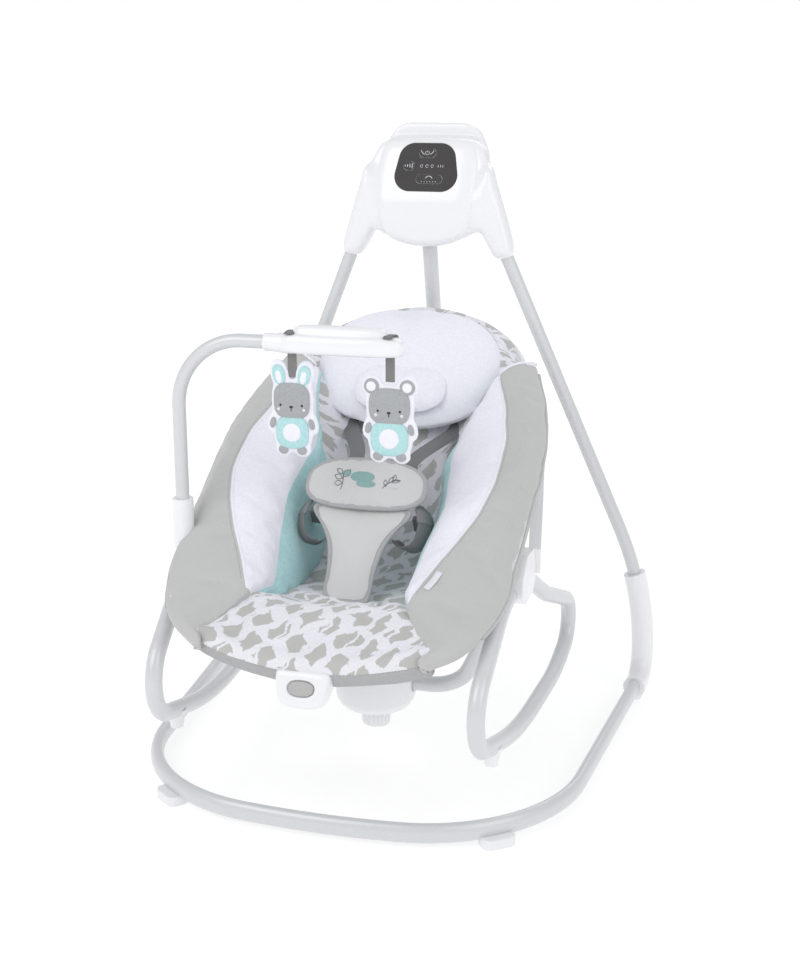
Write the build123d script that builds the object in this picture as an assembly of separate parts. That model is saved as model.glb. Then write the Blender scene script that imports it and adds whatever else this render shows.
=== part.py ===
from build123d import *
import math
import os

# Baby swing: a floor stand with a motor head, a swing arm hanging from the head, and a padded seat that
# lifts off the arm and stands on its own rocker tubes. Millimetres, +Z up, -Y to the front.

# Floor stand
base_tube_height = 30.0
base_tube_width = 21.0
tube_wall = 1.3
base_axis_z = 23.0
base_front_y = -324.0
base_front_bow = 1106.0
base_corner_radius = 251.0
base_splay = 5.2
leg_radius = 11.1
leg_bend_radius = 570.0
leg_foot = (382.0, 352.0)
leg_socket = (134.0, 289.0, 769.0)
leg_plug_in = 66.0
leg_end_z = 90.0
elbow_bend_radius = 42.0
elbow_radius = 19.0
elbow_top_z = 215.0
elbow_reach = 20.0
rear_pad_length = 70.0
rear_pad_width = 22.0
rear_pad_height = 10.0
front_foot_bearing = 52.0
front_foot_overhang = 7.0
front_foot_length = 50.0
front_foot_width = 34.0
front_foot_height = 15.0

# Motor head
cover_wall = 3.0
head_outline = [(86, 955), (103, 925), (106, 890), (96, 828), (78, 800), (46, 787)]
face_outline = [(72, 955), (88, 925), (91, 880), (80, 815), (64, 797), (42, 790)]
socket_outline = [(106, 905), (148, 773), (122, 765), (94, 832), (84, 870)]
socket_front_y = 264.0
socket_back_y = 314.0
face_low = (254.0, 700.0)
face_knee = (256.0, 858.0)
face_lean = 20.2
face_depth = 16.0
head_back_y = 372.0
head_back_slope_z = 880.0
head_back_low_y = 350.0
head_low_z = 787.0
head_top_z = 955.0
rim_rise = 25.0
rim_top_z = head_top_z + rim_rise
rim_half_width = 76.0
rim_front_y = 346.0
rim_back_y = 385.0
rim_corner = 12.0
grip_half_width = 62.0
grip_roof = 6.0
grip_front = 10.0
bulkhead_y = 330.0
bulkhead_thickness = 4.0
slot_half_width = 36.0
slot_front_y = 262.0

# Drive inside the head
pivot_z = 850.0
shaft_radius = 5.0
shaft_clearance = 0.05
bush_radius = 8.0
bush_length = 10.0
boss_radius = 13.0
yoke_radius = 17.0
yoke_front_y = 272.3
yoke_length = 30.0
yoke_sleeve_radius = 16.0
yoke_sleeve_start = 19.0
yoke_sleeve_end = 62.0
lever_half_width = 8.0
lever_front_y = 289.0
lever_depth = 9.0
lever_top_z = 908.0
magnet_radius = 11.0
magnet_depth = 8.0
magnet_z = 895.0
coil_radius = 20.0
coil_bore = 7.0
coil_depth = 22.0
speaker_radius = 22.0
speaker_depth = 12.0
speaker_x = -52.0
speaker_z = 845.0
cell_radius = 13.0
cell_length = 50.0
cell_gap = 1.0
cell_low_z = 903.0
door_half_width = 60.0
door_low_z = 888.0
door_high_z = 943.0
door_thickness = 2.7
door_gap = 0.4
screw_head_radius = 3.5
screw_head_depth = 2.5
screw_x = 80.0
screw_rows = (893.0, 935.0)

# Control panel
lens_bottom_width = 118.0
lens_top_width = 88.0
lens_height = 82.0
lens_corner = 27.0
lens_thickness = 3.0
lens_proud = 0.6
lens_gap = 0.2
lens_mid_z = 911.0
board_width = 88.0
board_height = 62.0
board_thickness = 1.6
board_depth = 7.4
board_post_radius = 3.0
key_proud = 1.2
key_depth = 6.0
key_gap = 0.3
key_corner = 6.9
power_key = (0.0, 24.0, 28.0, 15.0)
sound_key = (-30.0, 2.0, 18.0, 15.0)
speed_key = (6.0, -20.0, 44.0, 15.0)

# Swing arm and dock
arm_radius = 12.7
arm_exit = (302.0, 773.0)
arm_lean = 15.0
arm_bend_radius = 320.0
arm_low_z = 100.0
arm_joint_z = 560.0
arm_end_y = 5.0
dock_y = -30.0
dock_top_z = 165.0
dock_bottom_z = 68.0
dock_top_radius = 68.0
dock_belly_radius = 65.0
dock_belly_z = 90.0
dock_foot_radius = 52.0
dock_wall = 4.0
dock_socket_radius = 17.5
dock_socket_front_y = 0.0
dock_socket_back_y = 56.0
fit_gap = 0.1
slide_gap = 0.3
knob_half_width = 24.0
knob_half_depth = 20.0
knob_low_z = 44.0
knob_gap = 1.0
knob_rib_radius = 2.5
knob_rib_count = 18
knob_stem_radius = 6.0
knob_flange_radius = 9.0
knob_flange_thickness = 3.0
knob_travel = 6.0

# Seat carrier: cradle tube, hubs and rocker tubes
cradle_radius = 12.5
cradle_z = 128.0
cradle_lean = 24.9
cradle_corner_x = 137.0
cradle_corner_radius = 75.0
cradle_end_x = 247.0
cradle_rise = 252.0
saddle_low_z = 119.0
saddle_top_z = 158.0
saddle_radius = 52.0
rocker_radius = 12.5
rocker_x = 238.0
rocker_x_at_y = -300.0
rocker_toe_out = 3.4
rocker_path = [
    (-167, 350, 0),
    (-224, 342, 120),
    (-429, 194, 62),
    (-125, 108, 700),
    (120, 108, 300),
    (305, 168, 46),
    (40, 272, 250),
    (-112, 354, 0),
]
rocker_foot_y = -268.0
rocker_foot_height = 28.0
rocker_foot_top_radius = 15.0
rocker_foot_low_radius = 9.0
hub_outline = [(-192, 344), (-188, 370), (-152, 396), (-96, 392), (-86, 346), (-108, 326), (-165, 326)]
hub_corner = 12.0
hub_thickness = 33.0
strut_outline = [(-86, 348), (0, 378), (74, 410), (108, 524), (62, 534), (36, 472), (-4, 430), (-95, 388)]
strut_thickness = 18.0
strut_turn = 9.0
strut_outset = 14.0

# Seat, laid out in its rim plane: x across, u along from the front edge, h out of the plane
seat_front_y = -377.0
seat_front_z = 284.0
seat_tilt = 30.0
hoop_radius = 8.0
hoop_half_width = 247.0
hoop_wide_u = 290.0
hoop_side_radius = 1055.0
hoop_head_radius = 202.0
hoop_front_u = 6.0
hoop_front_radius = 400.0
hoop_corner_radius = 110.0
hoop_open = 20.0
soft_gap = 0.4
pad_depth = [
    (-8, -11), (40, -5), (77, -6), (130, -26), (182, -72), (256, -124), (344, -152),
    (454, -126), (555, -84), (684, -32), (758, -8),
]
pad_half_width = [
    (-8, 62), (10, 116), (32, 140), (77, 138), (130, 118), (182, 100), (250, 98),
    (400, 98), (520, 104), (620, 106), (700, 96), (758, 66),
]
pad_thickness = 24.0
pad_crown = 4.0
pad_draw_in = 8.0
seat_pad_stations = [-8, 10, 32, 77, 130, 182, 256, 300]
back_pad_stations = [302, 344, 400, 454, 555, 640, 700, 757]
wing_stations = [42, 120, 230, 350, 470, 580, 650, 705]
wing_edge_x = [(42, 152), (120, 126), (230, 110), (350, 122), (470, 112), (580, 121), (650, 121), (705, 110)]
wing_edge_h = [(42, -3), (120, -10), (230, -26), (350, -11), (470, -20), (580, -32), (650, -16), (705, -4)]
wing_crown = 20.0
wing_overhang = 9.0
wing_bulge = 4.0
wing_foot = 40.0
wing_foot_drop = 18.0
headrest_u = 640.0
headrest_h = -8.0
headrest_tilt = 20.0
headrest_half_width = 150.0
headrest_half_length = 110.0
headrest_thickness = 40.0
cushion_inset = 0.86
cradle_pad_half_width = 76.0
cradle_pad_half_length = 44.0
cradle_pad_thickness = 14.0
cradle_pad_shift = -46.0
crotch_low = (-188.0, 316.0)
harness_tilt = 52.7
crotch_low_width = 74.0
crotch_mid_width = 82.0
crotch_high_width = 122.0
crotch_length = 156.0
crotch_thickness = 12.0
waist_pad_at = 182.0
waist_pad_half_width = 94.0
waist_pad_half_height = 47.0
waist_pad_thickness = 16.0
strap_width = 25.0
strap_thickness = 2.4
shoulder_low = (44.0, 214.0)
shoulder_high = (72.0, 530.0)
waist_strap_side = (84.0, 336.0)
buckle_width = 30.0
buckle_length = 24.0
buckle_thickness = 9.0
buckle_share = 0.38

# Vibration unit on the front of the hoop
unit_y = -390.0
unit_z = 258.0
unit_tilt = 20.0
unit_width = 84.0
unit_height = 53.0
unit_depth = 30.0
unit_corner = 15.0
unit_wall = 3.0
clip_width = 60.0
clip_low = 20.0
clip_high = 46.0
clip_front = 3.0
unit_key_width = 39.0
unit_key_height = 25.0
unit_key_proud = 2.5
unit_key_depth = 6.0
unit_pocket_depth = 9.0
motor_radius = 7.0
motor_length = 36.0

# Toy bar and toys
toy_bar_x = -248.0
toy_bar_y = -196.0
toy_tube_radius = 10.0
toy_bend_radius = 100.0
toy_tube_z = 695.0
toy_tube_low_z = 408.0
toy_tube_end_x = -84.0
toy_socket_radius = 15.5
toy_socket_low_z = 380.0
toy_socket_high_z = 455.0
beam_half_length = 92.0
beam_low_z = 683.0
beam_lip_z = 694.0
beam_top_z = 722.0
beam_depth = 44.0
beam_low_scale = 0.95
beam_top_scale = 0.7
beam_corner_share = 0.45
beam_collar_radius = 13.0
beam_collar_end_x = -106.0
toy_x = 72.0
ribbon_width = 13.0
ribbon_thickness = 1.8
ribbon_gap = 0.8
rabbit_shape = {
    "head": [(594, 14, 5), (604, 29, 12), (619, 33, 15), (635, 26, 12), (646, 10, 5)],
    "ears": [(632, 6, 4), (648, 10, 6), (662, 8, 5), (672, 3, 2)],
    "ear_x": 17.0,
    "body": [(545, 12, 5), (556, 26, 12), (572, 25, 13), (587, 19, 10), (597, 10, 5)],
    "arms": [(560, 4, 3), (570, 9, 6), (582, 8, 6), (590, 3, 3)],
    "arm_x": 27.0,
    "feet": [(536, 5, 4), (543, 13, 9), (552, 12, 8), (560, 5, 4)],
    "foot_x": 17.0,
}
bear_shape = {
    "head": [(592, 16, 5), (603, 33, 13), (619, 37, 16), (635, 30, 13), (647, 12, 5)],
    "ears": [(632, 5, 3), (641, 11, 6), (652, 11, 6), (661, 4, 3)],
    "ear_x": 24.0,
    "body": [(544, 14, 5), (556, 29, 13), (572, 28, 14), (586, 22, 11), (596, 12, 5)],
    "arms": [(556, 4, 3), (567, 10, 7), (580, 9, 7), (589, 4, 3)],
    "arm_x": 30.0,
    "feet": [(536, 5, 4), (543, 14, 10), (552, 13, 9), (560, 5, 4)],
    "foot_x": 20.0,
}


def rod(path, radius):
    """Solid round bar along a path."""
    start = Plane(origin=path @ 0, z_dir=path % 0)
    return sweep(start * Circle(radius), path=path)


def pipe(path, radius, wall=tube_wall):
    """Hollow round tube along a path, open at both ends."""
    start = Plane(origin=path @ 0, z_dir=path % 0)
    return sweep(start * (Circle(radius) - Circle(radius - wall)), path=path)


def cylinder_between(low, high, radius):
    """Round bar between two points."""
    return rod(Line(low, high), radius)


def block(x_range, y_range, z_range):
    """Box given by its limits."""
    sizes = [limits[1] - limits[0] for limits in (x_range, y_range, z_range)]
    middle = [(limits[0] + limits[1]) / 2 for limits in (x_range, y_range, z_range)]
    return Pos(*middle) * Box(*sizes)


def along(table, u):
    """Value at u on a line of straight pieces through the table's points."""
    for (u0, v0), (u1, v1) in zip(table, table[1:]):
        if u <= u1:
            return v0 + (v1 - v0) * (u - u0) / (u1 - u0)
    return table[-1][1]


def both_sides(half):
    """Closed symmetric outline from the points of its right half, top first."""
    return half + [(-x, y) for x, y in reversed(half)]


def polygon(points):
    """Face inside a closed line of points."""
    return make_face(Polyline(*points, close=True))


def oval(half_width, half_height):
    """Oval face of four arcs."""
    mid = math.sqrt(0.5)
    corners = [(half_width, 0), (0, half_height), (-half_width, 0), (0, -half_height)]
    edges = []
    for (x0, y0), (x1, y1) in zip(corners, corners[1:] + corners[:1]):
        edges.append(ThreePointArc((x0, y0), ((x0 + x1) * mid, (y0 + y1) * mid), (x1, y1)))
    return make_face(edges)


def cushion(place, half_width, half_height, thickness):
    """Oval cushion with a crown on both faces, lying at a place."""
    sections = []
    for share, inset in ((0.0, cushion_inset), (0.5, 1.0), (1.0, cushion_inset)):
        outline = oval(half_width * inset, half_height * inset)
        sections.append(place * Pos(0, 0, share * thickness) * outline)
    return loft(sections)


def plush(x, sections):
    """Flat stuffed piece: lens-shaped sections (height, half width, half depth) stacked upwards."""
    faces = []
    for z, half_width, half_depth in sections:
        front = ThreePointArc((-half_width, 0), (0, -half_depth), (half_width, 0))
        back = ThreePointArc((half_width, 0), (0, half_depth), (-half_width, 0))
        faces.append(Pos(x, toy_bar_y, z) * make_face([front, back]))
    return loft(faces)


def mirrored(shape):
    return mirror(shape, about=Plane.YZ)


# Floor tube: straight splayed sides, two corner arcs and a bowed front, all in one level plane
splay = math.radians(base_splay)
side_dir = Vector(math.sin(splay), math.cos(splay))
side_in = Vector(-math.cos(splay), math.sin(splay))
base_end = Vector(leg_foot[0], leg_foot[1]) - side_dir * elbow_bend_radius
bow_centre = Vector(0, base_front_y + base_front_bow)
offset_from_bow = base_end + side_in * base_corner_radius - bow_centre
along_side = offset_from_bow.dot(side_dir)
reach = (base_front_bow - base_corner_radius) ** 2 - offset_from_bow.length**2 + along_side**2
corner_centre = bow_centre + offset_from_bow - side_dir * (along_side + math.sqrt(reach))
from_bow = (corner_centre - bow_centre).normalized()
side_touch = corner_centre - side_in * base_corner_radius
front_touch = bow_centre + from_bow * base_front_bow
corner_mid = corner_centre + (from_bow - side_in).normalized() * base_corner_radius


def on_base(point, side=1):
    return (side * point.X, point.Y, base_axis_z)


base_path = Wire(
    [
        Line(on_base(base_end, -1), on_base(side_touch, -1)),
        ThreePointArc(on_base(side_touch, -1), on_base(corner_mid, -1), on_base(front_touch, -1)),
        ThreePointArc(on_base(front_touch, -1), (0, base_front_y, base_axis_z), on_base(front_touch)),
        ThreePointArc(on_base(front_touch), on_base(corner_mid), on_base(side_touch)),
        Line(on_base(side_touch), on_base(base_end)),
    ]
)


def base_bar(grow=0.0):
    """Solid oval bar on the floor tube's path."""
    start = Plane(origin=base_path @ 0, x_dir=(0, 0, 1), z_dir=base_path % 0)
    return sweep(start * Ellipse(base_tube_height / 2 + grow, base_tube_width / 2 + grow), path=base_path)


base_outer = base_bar()
base_tube = base_outer - base_bar(-tube_wall)

# Right leg: straight from the head, then one gentle bend to upright, all in one vertical plane
leg_foot_z = base_axis_z + elbow_bend_radius
leg_run = Vector(leg_foot[0] - leg_socket[0], leg_foot[1] - leg_socket[1])
leg_out = leg_run.normalized()
leg_drop = leg_socket[2] - leg_foot_z
bend_back = leg_run.length - leg_bend_radius
to_centre = math.hypot(bend_back, leg_drop)
leg_slant = math.atan2(bend_back, leg_drop) + math.asin(leg_bend_radius / to_centre)
leg_straight = math.sqrt(to_centre**2 - leg_bend_radius**2)


def on_leg(out, z):
    return Vector(leg_socket[0] + leg_out.X * out, leg_socket[1] + leg_out.Y * out, z)


def on_leg_bend(z):
    """Point on the leg's bend at a height."""
    rise = z - leg_foot_z
    return on_leg(bend_back + math.sqrt(leg_bend_radius**2 - rise**2), z)


bend_top_z = leg_socket[2] - leg_straight * math.cos(leg_slant)
leg_top = on_leg(-leg_plug_in * math.sin(leg_slant), leg_socket[2] + leg_plug_in * math.cos(leg_slant))
leg_path = Wire(
    [
        Line(leg_top, on_leg_bend(bend_top_z)),
        ThreePointArc(
            on_leg_bend(bend_top_z), on_leg_bend((bend_top_z + leg_end_z) / 2), on_leg_bend(leg_end_z)
        ),
    ]
)
right_leg_tube = pipe(leg_path, leg_radius)
left_leg_tube = mirrored(right_leg_tube)

# Right elbow: sleeve from the leg round to the floor tube
elbow_quarter = math.sqrt(0.5) * elbow_bend_radius
foot_point = on_leg_bend(leg_foot_z)
elbow_out = Vector(base_end.X, base_end.Y, base_axis_z)
forward = Vector(-side_dir.X, -side_dir.Y, 0)
elbow_mid = foot_point + forward * (elbow_bend_radius - elbow_quarter) - Vector(0, 0, elbow_quarter)
elbow_path = Wire(
    [
        ThreePointArc(
            on_leg_bend(elbow_top_z), on_leg_bend((elbow_top_z + leg_foot_z) / 2), foot_point
        ),
        ThreePointArc(foot_point, elbow_mid, elbow_out),
        Line(elbow_out, elbow_out + forward * elbow_reach),
    ]
)
elbow_outer = rod(elbow_path, elbow_radius)
right_leg_elbow = elbow_outer - rod(leg_path, leg_radius + fit_gap) - base_bar(fit_gap)
left_leg_elbow = mirrored(right_leg_elbow)

# Feet: two saddles under the front corners and two rubber pads under the elbows
foot_angle = math.radians(front_foot_bearing)
foot_dir = Vector(math.cos(foot_angle), -math.sin(foot_angle))
foot_at = corner_centre + foot_dir * (base_corner_radius + front_foot_overhang)
foot_outline = RectangleRounded(front_foot_width, front_foot_length, front_foot_width / 3)
foot_shape = extrude(foot_outline, front_foot_height)
front_foot = Pos(foot_at.X, foot_at.Y, 0) * Rot(0, 0, -front_foot_bearing) * foot_shape - base_outer
pad_shape = extrude(RectangleRounded(rear_pad_width, rear_pad_length, rear_pad_width / 3), rear_pad_height)
pad_at = elbow_out + forward * (elbow_reach - rear_pad_length / 2)
rear_pad = Pos(pad_at.X, pad_at.Y, 0) * Rot(0, 0, -base_splay) * pad_shape - elbow_outer - base_outer
floor_feet = Compound([front_foot, mirrored(front_foot), rear_pad, mirrored(rear_pad)])

# Motor head covers: the front outline run from front to back, cut to the side profile, then hollowed
lean = math.radians(face_lean)
face_high_z = rim_top_z + cover_wall
face_high = (face_knee[0] + (face_high_z - face_knee[1]) * math.tan(lean), face_high_z)
parting = [(y + face_depth, z) for y, z in (face_low, face_knee, face_high)]


def side_slab(points):
    """Body of a side profile (y, z) run across the head."""
    profile = Plane.YZ * polygon(points)
    return extrude(profile, max(x for x, z in socket_outline), both=True)


def head_prism(points, inset=0.0):
    """Body of a front outline (x, z) run through the head's depth."""
    outline = offset(polygon(both_sides(points)), -inset) if inset else polygon(both_sides(points))
    return extrude(Plane.XZ * outline, -(rim_back_y + face_low[0]))


def face_line(inset):
    """Front profile of the face, moved back by an inset."""
    return [(y + inset, z) for y, z in (face_low, face_knee, face_high)]


def back_line(inset):
    """Rear profile of the head, moved forward by an inset."""
    back = [(head_back_y, face_high_z), (head_back_y, head_back_slope_z), (head_back_low_y, head_low_z)]
    return [(y - inset, z) for y, z in back] + [(head_back_low_y - inset, face_low[1])]


front_solid = head_prism(face_outline) & side_slab(face_line(0) + parting[::-1])
front_hollow = head_prism(face_outline, cover_wall) & side_slab(face_line(cover_wall) + parting[::-1])
rear_solid = head_prism(head_outline) & side_slab(parting + back_line(0))
rear_hollow = head_prism(head_outline, cover_wall) & side_slab(parting + back_line(cover_wall))
socket_face = Plane.XZ * polygon(socket_outline)
right_socket = Pos(0, socket_back_y, 0) * extrude(socket_face, socket_back_y - socket_front_y)
front_space = head_prism(face_outline, -fit_gap) & side_slab(face_line(-cover_wall) + parting[::-1])
rim_face = RectangleRounded(2 * rim_half_width, rim_top_z - head_top_z + rim_corner, rim_corner)
rim_mid_z = (rim_top_z + head_top_z - rim_corner) / 2
rim_outer = extrude(Plane.XZ.offset(-rim_back_y) * Pos(0, rim_mid_z) * rim_face, rim_back_y - rim_front_y)
grip_space = block(
    (-grip_half_width, grip_half_width),
    (rim_front_y + grip_front, rim_back_y + grip_front),
    (head_top_z, rim_top_z - grip_roof),
)
head_half_width = max(x for x, z in head_outline)
bulkhead = rear_hollow & block(
    (-head_half_width, head_half_width),
    (bulkhead_y, bulkhead_y + bulkhead_thickness),
    (head_low_z, head_top_z),
)
arm_slot = block(
    (-slot_half_width, slot_half_width),
    (slot_front_y, bulkhead_y),
    (head_low_z - cover_wall, head_low_z + 4 * cover_wall),
)


def on_pivot(y):
    return (0, y, pivot_z)


shaft_front_y = yoke_front_y - bush_length - shaft_clearance
shaft_back_y = bulkhead_y + bush_length - bulkhead_thickness
bush_spans = [(shaft_front_y, shaft_front_y + bush_length), (shaft_back_y - bush_length, shaft_back_y)]
boss = cylinder_between(on_pivot(face_low[0]), on_pivot(bush_spans[0][1]), boss_radius) & front_solid
front_boss = boss - cylinder_between(on_pivot(bush_spans[0][0]), on_pivot(head_back_y), bush_radius)
rear_boss = cylinder_between(on_pivot(bulkhead_y), on_pivot(shaft_back_y), boss_radius)
leg_space = rod(leg_path, leg_radius + fit_gap)
rear_bore = cylinder_between(on_pivot(bulkhead_y - bush_length), on_pivot(shaft_back_y), bush_radius)

# Control panel on the leaning part of the face
panel_y = face_knee[0] + (lens_mid_z - face_knee[1]) * math.tan(lean)
panel_plane = Plane(
    origin=(0, panel_y, lens_mid_z), x_dir=(1, 0, 0), z_dir=(0, -math.cos(lean), math.sin(lean))
)


def lens_body(grow, low, high):
    """Trapezoid panel with round corners between two depths below and above the face."""
    half_height = lens_height / 2
    corners = [
        (-lens_bottom_width / 2, -half_height),
        (lens_bottom_width / 2, -half_height),
        (lens_top_width / 2, half_height),
        (-lens_top_width / 2, half_height),
    ]
    outline = make_face(FilletPolyline(*corners, radius=lens_corner, close=True))
    if grow:
        outline = offset(outline, grow)
    return extrude(panel_plane * Pos(0, 0, low) * outline, high - low)


def key_body(key, grow, low, high):
    x, y, width, height = key
    outline = RectangleRounded(width + 2 * grow, height + 2 * grow, key_corner)
    return extrude(panel_plane * Pos(x, y, low) * outline, high - low)


keys = {"power_button": power_key, "sound_button": sound_key, "speed_button": speed_key}
control_lens = lens_body(0, lens_proud - lens_thickness, lens_proud)
for key in keys.values():
    control_lens -= key_body(key, key_gap, -key_depth, key_proud)
board_outline = Rectangle(board_width, board_height)
control_board = extrude(panel_plane * Pos(0, 0, -board_depth) * board_outline, -board_thickness)
post_x = board_width / 2 - board_post_radius
post_y = board_height / 2 - board_post_radius
post_top = lens_proud - lens_thickness
for x, y in ((post_x, post_y), (-post_x, post_y), (post_x, -post_y), (-post_x, -post_y)):
    post = Pos(x, y, -board_depth) * Circle(board_post_radius)
    control_lens += extrude(panel_plane * post, board_depth + post_top)
buttons = {name: key_body(key, 0, -key_depth, key_proud) for name, key in keys.items()}

head_front_shell = front_solid - front_hollow + front_boss - arm_slot
head_front_shell -= lens_body(lens_gap, -board_depth, key_proud)
door_space = block(
    (-door_half_width - door_gap, door_half_width + door_gap),
    (head_back_y - cover_wall, head_back_y + cover_wall),
    (door_low_z - door_gap, door_high_z + door_gap),
)
battery_door = block(
    (-door_half_width, door_half_width),
    (head_back_y - door_thickness, head_back_y),
    (door_low_z, door_high_z),
)
head_rear_shell = rear_solid - rear_hollow + bulkhead + rear_boss - rear_bore
head_rear_shell = head_rear_shell + (right_socket - rear_hollow) + (mirrored(right_socket) - rear_hollow)
head_rear_shell = head_rear_shell + (rim_outer - rear_hollow) - grip_space - arm_slot - door_space
head_rear_shell = head_rear_shell - front_space - leg_space - mirrored(leg_space)
screw_heads = []
for z in screw_rows:
    for x in (-screw_x, screw_x):
        seat_end = (x, head_back_y - screw_head_depth, z)
        head_rear_shell -= cylinder_between(seat_end, (x, rim_back_y, z), screw_head_radius + fit_gap)
        screw_heads.append(cylinder_between(seat_end, (x, head_back_y, z), screw_head_radius))
head_screws = Compound(screw_heads)

# Drive: shaft in two bushes, yoke with a magnet lever, coil on the bulkhead
shaft_start, shaft_end = on_pivot(shaft_front_y + shaft_clearance), on_pivot(shaft_back_y)
pivot_shaft = cylinder_between(shaft_start, shaft_end, shaft_radius)
bush_bore = cylinder_between(on_pivot(shaft_front_y), shaft_end, shaft_radius + shaft_clearance)
bushes = []
for low, high in bush_spans:
    bushes.append(cylinder_between(on_pivot(low), on_pivot(high), bush_radius) - bush_bore)
pivot_bushes = Compound(bushes)
coil_start, coil_end = (0, bulkhead_y - coil_depth, magnet_z), (0, bulkhead_y, magnet_z)
drive_coil = cylinder_between(coil_start, coil_end, coil_radius)
drive_coil -= cylinder_between(coil_start, coil_end, coil_bore)
arm_slope = math.tan(math.radians(arm_lean))


def on_arm(z):
    """Point of the arm's straight upper part at a height."""
    return Vector(0, arm_exit[0] + (arm_exit[1] - z) * arm_slope, z)


def below_pivot(length):
    return on_arm(pivot_z - length * math.cos(math.radians(arm_lean)))


yoke_back_y = yoke_front_y + yoke_length
magnet_front_y = lever_front_y + lever_depth
arm_yoke = cylinder_between(on_pivot(yoke_front_y), on_pivot(yoke_back_y), yoke_radius)
sleeve_ends = below_pivot(yoke_sleeve_start), below_pivot(yoke_sleeve_end)
arm_yoke += cylinder_between(*sleeve_ends, yoke_sleeve_radius)
arm_yoke += block(
    (-lever_half_width, lever_half_width), (lever_front_y, magnet_front_y), (pivot_z, lever_top_z)
)
arm_yoke -= cylinder_between(on_pivot(yoke_front_y), on_pivot(yoke_back_y), shaft_radius)
drive_magnet = cylinder_between(
    (0, magnet_front_y, magnet_z), (0, magnet_front_y + magnet_depth, magnet_z), magnet_radius
)

# Swing arm: leaning upper tube, then one large bend forward under the seat into the dock
bend_centre_z = arm_low_z + arm_bend_radius
bend_start_z = bend_centre_z + arm_bend_radius * math.sin(math.radians(arm_lean))
bend_start = on_arm(bend_start_z)
bend_centre_y = bend_start.Y - arm_bend_radius * math.cos(math.radians(arm_lean))
bend_mid_angle = math.radians((arm_lean - 90) / 2)
bend_mid = (
    0,
    bend_centre_y + arm_bend_radius * math.cos(bend_mid_angle),
    bend_centre_z + arm_bend_radius * math.sin(bend_mid_angle),
)
arm_top = below_pivot(yoke_sleeve_start + tube_wall)
upper_path = Line(arm_top, on_arm(arm_joint_z))
lower_path = Wire(
    [
        Line(on_arm(arm_joint_z), bend_start),
        ThreePointArc(bend_start, bend_mid, (0, bend_centre_y, arm_low_z)),
        Line((0, bend_centre_y, arm_low_z), (0, arm_end_y, arm_low_z)),
    ]
)
arm_yoke -= cylinder_between(arm_top, below_pivot(2 * yoke_sleeve_end), arm_radius + fit_gap)
arm_upper_tube = pipe(upper_path, arm_radius)
arm_lower_tube = pipe(lower_path, arm_radius)

# Speaker, cells
speaker_front_y = bulkhead_y + bulkhead_thickness
speaker = cylinder_between(
    (speaker_x, speaker_front_y, speaker_z),
    (speaker_x, speaker_front_y + speaker_depth, speaker_z),
    speaker_radius,
)
cell_y = speaker_front_y + cell_radius + slide_gap
cells = []
for z in (cell_low_z, cell_low_z + 2 * cell_radius + cell_gap):
    for side in (-1, 1):
        near = (side * cell_gap / 2, cell_y, z)
        cells.append(cylinder_between(near, (side * (cell_gap / 2 + cell_length), cell_y, z), cell_radius))
battery_cells = Compound(cells)

# Seat carrier: cradle tube in a leaning plane, resting in the slots of the dock
cradle_plane = Plane(
    origin=(0, dock_y, cradle_z),
    x_dir=(1, 0, 0),
    z_dir=(0, -math.cos(math.radians(cradle_lean)), -math.sin(math.radians(cradle_lean))),
)
cradle_points = [
    (-cradle_end_x, cradle_rise),
    (-cradle_corner_x, 0),
    (cradle_corner_x, 0),
    (cradle_end_x, cradle_rise),
]
cradle_path = cradle_plane * FilletPolyline(*cradle_points, radius=cradle_corner_radius)
cradle_tube = pipe(cradle_path, cradle_radius)
cradle_bar = rod(cradle_path, cradle_radius + fit_gap)

dock_outer = [
    (0, dock_bottom_z),
    (dock_foot_radius, dock_bottom_z),
    (dock_belly_radius, dock_belly_z),
    (dock_top_radius, dock_top_z),
]
dock_floor_z = dock_bottom_z + dock_wall
dock_inner = [
    (dock_top_radius - dock_wall, dock_top_z),
    (dock_belly_radius - dock_wall, dock_belly_z),
    (dock_foot_radius - dock_wall, dock_floor_z),
    (0, dock_floor_z),
]
dock_place = Pos(0, dock_y, 0)
dock_bowl = dock_place * revolve(Plane.XZ * polygon(dock_outer + dock_inner), Axis.Z)
arm_socket = cylinder_between(
    (0, dock_socket_front_y, arm_low_z), (0, dock_socket_back_y, arm_low_z), dock_socket_radius
)
arm_bore = rod(lower_path, arm_radius + fit_gap)
slot_radius = cradle_radius + slide_gap
dock_bowl = dock_bowl + arm_socket - arm_bore
slot_reach = 2 * dock_top_radius
dock_bowl -= cylinder_between((-slot_reach, dock_y, cradle_z), (slot_reach, dock_y, cradle_z), slot_radius)
dock_bowl -= block(
    (-slot_reach, slot_reach),
    (dock_y - slot_radius, dock_y + slot_radius),
    (cradle_z, dock_top_z + dock_wall),
)
dock_bowl -= dock_place * Pos(0, 0, dock_bottom_z) * Cylinder(knob_stem_radius + slide_gap, 4 * dock_wall)

# Saddle clamped round the cradle tube, standing free inside the dock
saddle = extrude(Circle(saddle_radius), saddle_top_z - saddle_low_z)
dock_saddle = Pos(0, dock_y, saddle_low_z) * saddle - cradle_bar

# Release knob under the dock: ribbed grip, stem through the dock floor and a flange above it
knob_top_z = dock_bottom_z - knob_gap
grip = extrude(oval(knob_half_width, knob_half_depth), knob_top_z - knob_low_z)
rib = extrude(Circle(knob_rib_radius), knob_top_z - knob_low_z)
for step in range(knob_rib_count):
    angle = 2 * math.pi * step / knob_rib_count
    grip += Pos(knob_half_width * math.cos(angle), knob_half_depth * math.sin(angle), 0) * rib
flange_z = dock_floor_z + knob_travel + knob_gap
stem = extrude(Circle(knob_stem_radius), flange_z - knob_low_z)
flange = Pos(0, 0, flange_z - knob_low_z) * extrude(Circle(knob_flange_radius), knob_flange_thickness)
release_knob = Pos(0, dock_y, knob_low_z) * (grip + stem + flange)

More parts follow.
